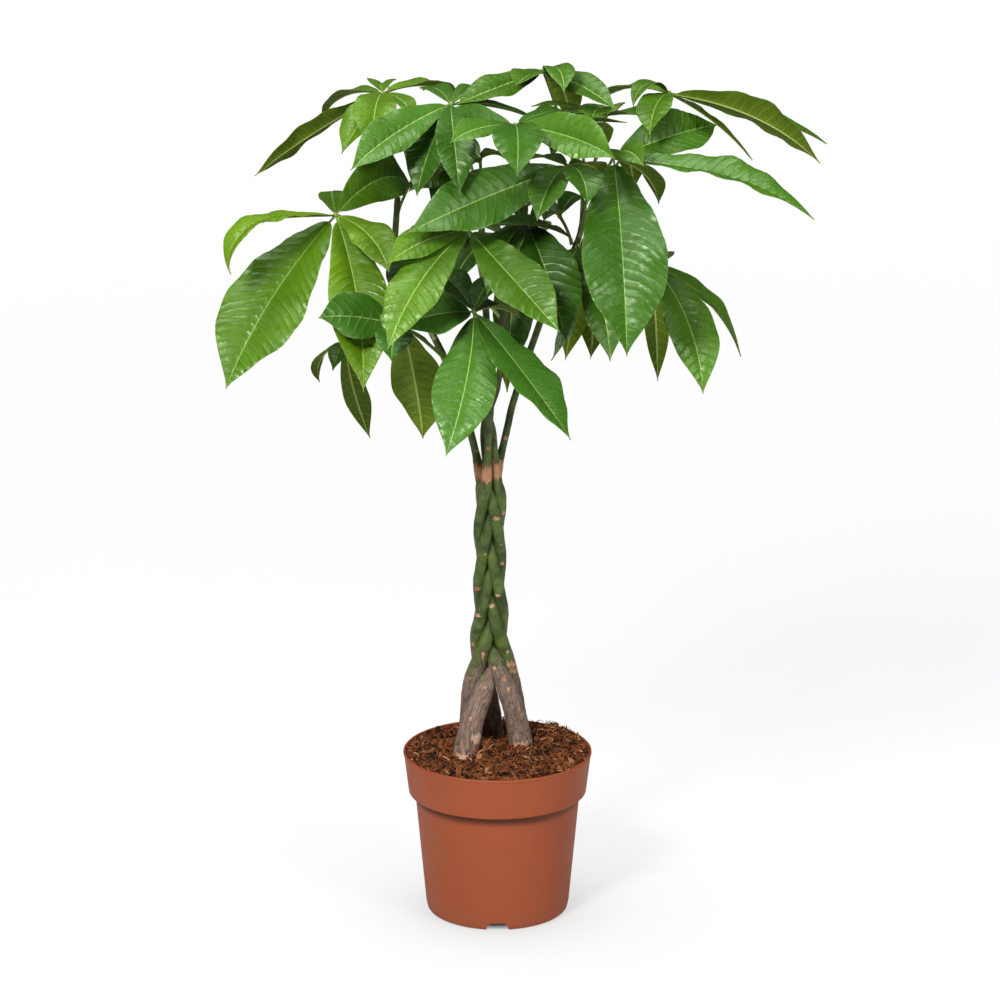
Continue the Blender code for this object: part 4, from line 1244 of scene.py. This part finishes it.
def leaf_top_material():
    """Glossy upper skin: a green that varies from leaflet to leaflet, with thin pale veins in furrows, and
    painted shade towards the crown's middle.
    """
    mat, tree, shader = new_material("leaf_top", roughness=0.38, specular=0.5)
    shader.inputs["Specular Tint"].default_value = (0.84, 1.0, 0.72, 1)
    place = object_place(tree)
    veins = venation(tree, 0.48 * MM, 0.045)
    luck = stored(tree, "luck")
    tone = mottle(place, 35, 900, 0.40)[0]
    dusty = mix(luck, (0.014, 0.085, 0.005, 1), (0.060, 0.190, 0.020, 1))
    fresh = mix(luck, (0.055, 0.150, 0.0005, 1), (0.145, 0.275, 0.003, 1))
    green = mix(stored(tree, "tint"), dusty, fresh)
    # Painted shade: leaflets near the crown's middle are darkened in their colour
    inner = ease(vector_calc("DISTANCE", place, CROWN_MIDDLE), 0.22, 0.07, 0.0, 0.84)
    green = mix(inner, green, (0.006, 0.034, 0.0005, 1))
    dull = ease(cloud(place, 14), 0.4, 0.7, 0, 0.5)
    green = mix(dull, green, (0.030, 0.10, 0.002, 1))
    green = toned(green, tone)
    green = lay(green, minus(1.0, veins["Net"]), 0.12, (0.12, 0.24, 0.03, 1))
    faint = ease(cloud(place, 28), 0.4, 0.65, 0.06, 0.34)
    green = lay(green, veins["Veins"], faint, (0.19, 0.33, 0.05, 1))
    green = lay(green, veins["Edge"], 0.3, (0.26, 0.31, 0.06, 1))
    clear = ease(luck, 0.0, 1.0, 0.55, 0.85)
    green = lay(green, veins["Midrib"], clear, (0.34, 0.48, 0.12, 1))
    feed(shader, base_color=green, roughness=ease(cloud(place, 60), 0.35, 0.65, 0.34, 0.46))

    uneven = ease(cloud(place, 32), 0.35, 0.62, 0.4, 2.4)
    along = parts_of(stored(tree, "blade", "Vector"))["X"]
    swell = times(pillowed(stored(tree, "vein"), 0.6), uneven, ease(along, 0.01, 0.09, 0.3, 1.0))
    pucker = times(cloud(place, 120, detail=1), 1.3)
    relief = plus(times(veins["Veins"], -0.7), plus(swell, pucker))
    bump(shader, relief, 0.55, 0.0007)
    return mat


def leaf_underside_material():
    """Dull olive underside, with raised pale veins."""
    mat, tree, shader = new_material("leaf_underside", roughness=0.62, specular=0.14)
    shader.inputs["Specular Tint"].default_value = (0.85, 1.0, 0.45, 1)
    place = object_place(tree)
    veins = venation(tree, 0.9 * MM, 0.06)
    tone, grain = mottle(place, 35, 900, 0.3)
    olive = mix(stored(tree, "luck"), (0.044, 0.088, 0.004, 1), (0.098, 0.155, 0.008, 1))
    olive = toned(olive, tone)
    olive = lay(olive, minus(1.0, veins["Net"]), 0.3, (0.08, 0.12, 0.025, 1))
    olive = lay(olive, veins["Veins"], 0.4, (0.23, 0.30, 0.08, 1))
    olive = lay(olive, veins["Midrib"], 0.75, (0.36, 0.42, 0.11, 1))
    feed(shader, base_color=olive)
    bump(shader, plus(veins["Veins"], times(grain, 0.4)), 0.5, 0.0005)
    return mat


def leaf_stalk_material():
    """Smooth yellow-green stalk, darker in patches."""
    mat, tree, shader = new_material("leaf_stalk", roughness=0.45, specular=0.4)
    place = object_place(tree)
    tone, grain = mottle(place, 60, 1200, 0.35)
    patches = ease(cloud(place, 25), 0.35, 0.65)
    colour = mix(patches, (0.135, 0.20, 0.035, 1), (0.27, 0.32, 0.075, 1))
    feed(shader, base_color=toned(colour, tone))
    bump(shader, grain, 0.3, 0.0003)
    return mat


LEAF_TREE = leaf_nodes()
leaf_top = leaf_top_material()
leaf_underside = leaf_underside_material()
leaf_stalk = leaf_stalk_material()
for number, (name, (hub, stem, place, leaflets)) in enumerate(LEAVES.items()):
    rng = np.random.default_rng(number + 5)
    lines = [stalk_line(hub, *free_stems[stem], place)]
    lines += [leaflet_line(hub, leaflet, rng) for leaflet in leaflets]
    leaf = grown_along(name + "_grown", lines, LEAF_TREE, {
        "Seed": number + 11, "Stalk Material": leaf_stalk, "Top Material": leaf_top,
        "Underside Material": leaf_underside})
    store_values(leaf.data, "tint", np.full(len(leaf.data.vertices), TINTS.get(name, 0.5)))
    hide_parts(name)
    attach(leaf, "root")


# ---------------------------------------------------------------- plain studio
# A pale floor in a white room, a broad soft light overhead, a key light in front on the left and a fill in
# front on the right. The camera stands a little above the plant's top and looks slightly down.

FLOOR_SIZE = 24.0
# How the floor glows to the camera near the pot and far from it, so that it stays pale
NEAR_GLOW = 0.80
FAR_GLOW = 0.96
# The soft shade round the pot's foot, and over what distance it fades
FOOT_SHADE = 0.16
SHADE_FADE = 35 * MM
ROOM_GLOW = 0.08


def studio_floor():
    mesh = bpy.data.meshes.new("floor")
    half = FLOOR_SIZE / 2
    corners = [(-half, -half, 0), (half, -half, 0), (half, half, 0), (-half, half, 0)]
    mesh.from_pydata(corners, [], [(0, 1, 2, 3)])
    mat, tree, shader = new_material("pale_floor", roughness=0.9, specular=0.1)
    place = object_place(tree)
    tone = mottle(place, 3, 90, 0.01)[0]
    seen = put(tree, "ShaderNodeLightPath").outputs["Is Camera Ray"]
    grey = mix(seen, (0.75, 0.75, 0.75, 1), (0.19, 0.19, 0.19, 1))
    shader.inputs["Emission Color"].default_value = (1, 1, 1, 1)
    away = vector_calc("LENGTH", place)
    glow = ease(away, 0.3, 4.0, NEAR_GLOW, FAR_GLOW)
    # Painted shadow: the floor's glow is dimmed round the pot's foot
    shade = times(calc("EXPONENT", times(away, -1 / SHADE_FADE)), FOOT_SHADE)
    glow = minus(glow, times(shade, math.exp(FOOT_RADIUS / SHADE_FADE)))
    # Painted shade under the pot: the glow fades out inside its foot, so the floor seen through the drain
    # slots is dark
    glow = times(glow, ease(away, FOOT_RADIUS - 20 * MM, FOOT_RADIUS - 2 * MM))
    feed(shader, base_color=toned(grey, tone), emission_strength=times(seen, glow))
    return add_piece("studio_floor", mesh, mat)


def soft_light(name, place, aim, size, power):
    light = bpy.data.lights.new(name, "AREA")
    light.shape = "SQUARE"
    light.size = size
    light.energy = power
    made = bpy.data.objects.new(name, light)
    made.location = place
    made.rotation_euler = (Vector(aim) - Vector(place)).to_track_quat("-Z", "Y").to_euler()
    bpy.context.scene.collection.objects.link(made)


studio_floor()
soft_light("overhead", (-0.2, 0.1, 3.2), (0, 0, 0.3), 1.6, 50)
soft_light("key", (-1.2, -2.5, 2.6), (0, 0, 0.35), 0.7, 119)
soft_light("fill_right", (2.2, -2.2, 2.0), (0, 0, 0.4), 1.0, 52)

world = bpy.data.worlds.new("white_room")
world.use_nodes = True
background = world.node_tree.nodes["Background"]
background.inputs["Color"].default_value = (1, 1, 1, 1)
background.inputs["Strength"].default_value = ROOM_GLOW
bpy.context.scene.world = world
bpy.context.scene.view_settings.view_transform = "Standard"

camera = bpy.data.cameras.new("camera")
camera.lens = 179.2
camera.sensor_width = 36
camera.clip_end = 50
camera_object = bpy.data.objects.new("camera", camera)
camera_object.location = (0.0023, -4.247, 1.638)
camera_object.rotation_euler = (math.radians(73.57), 0, 0)
bpy.context.scene.collection.objects.link(camera_object)
bpy.context.scene.camera = camera_object
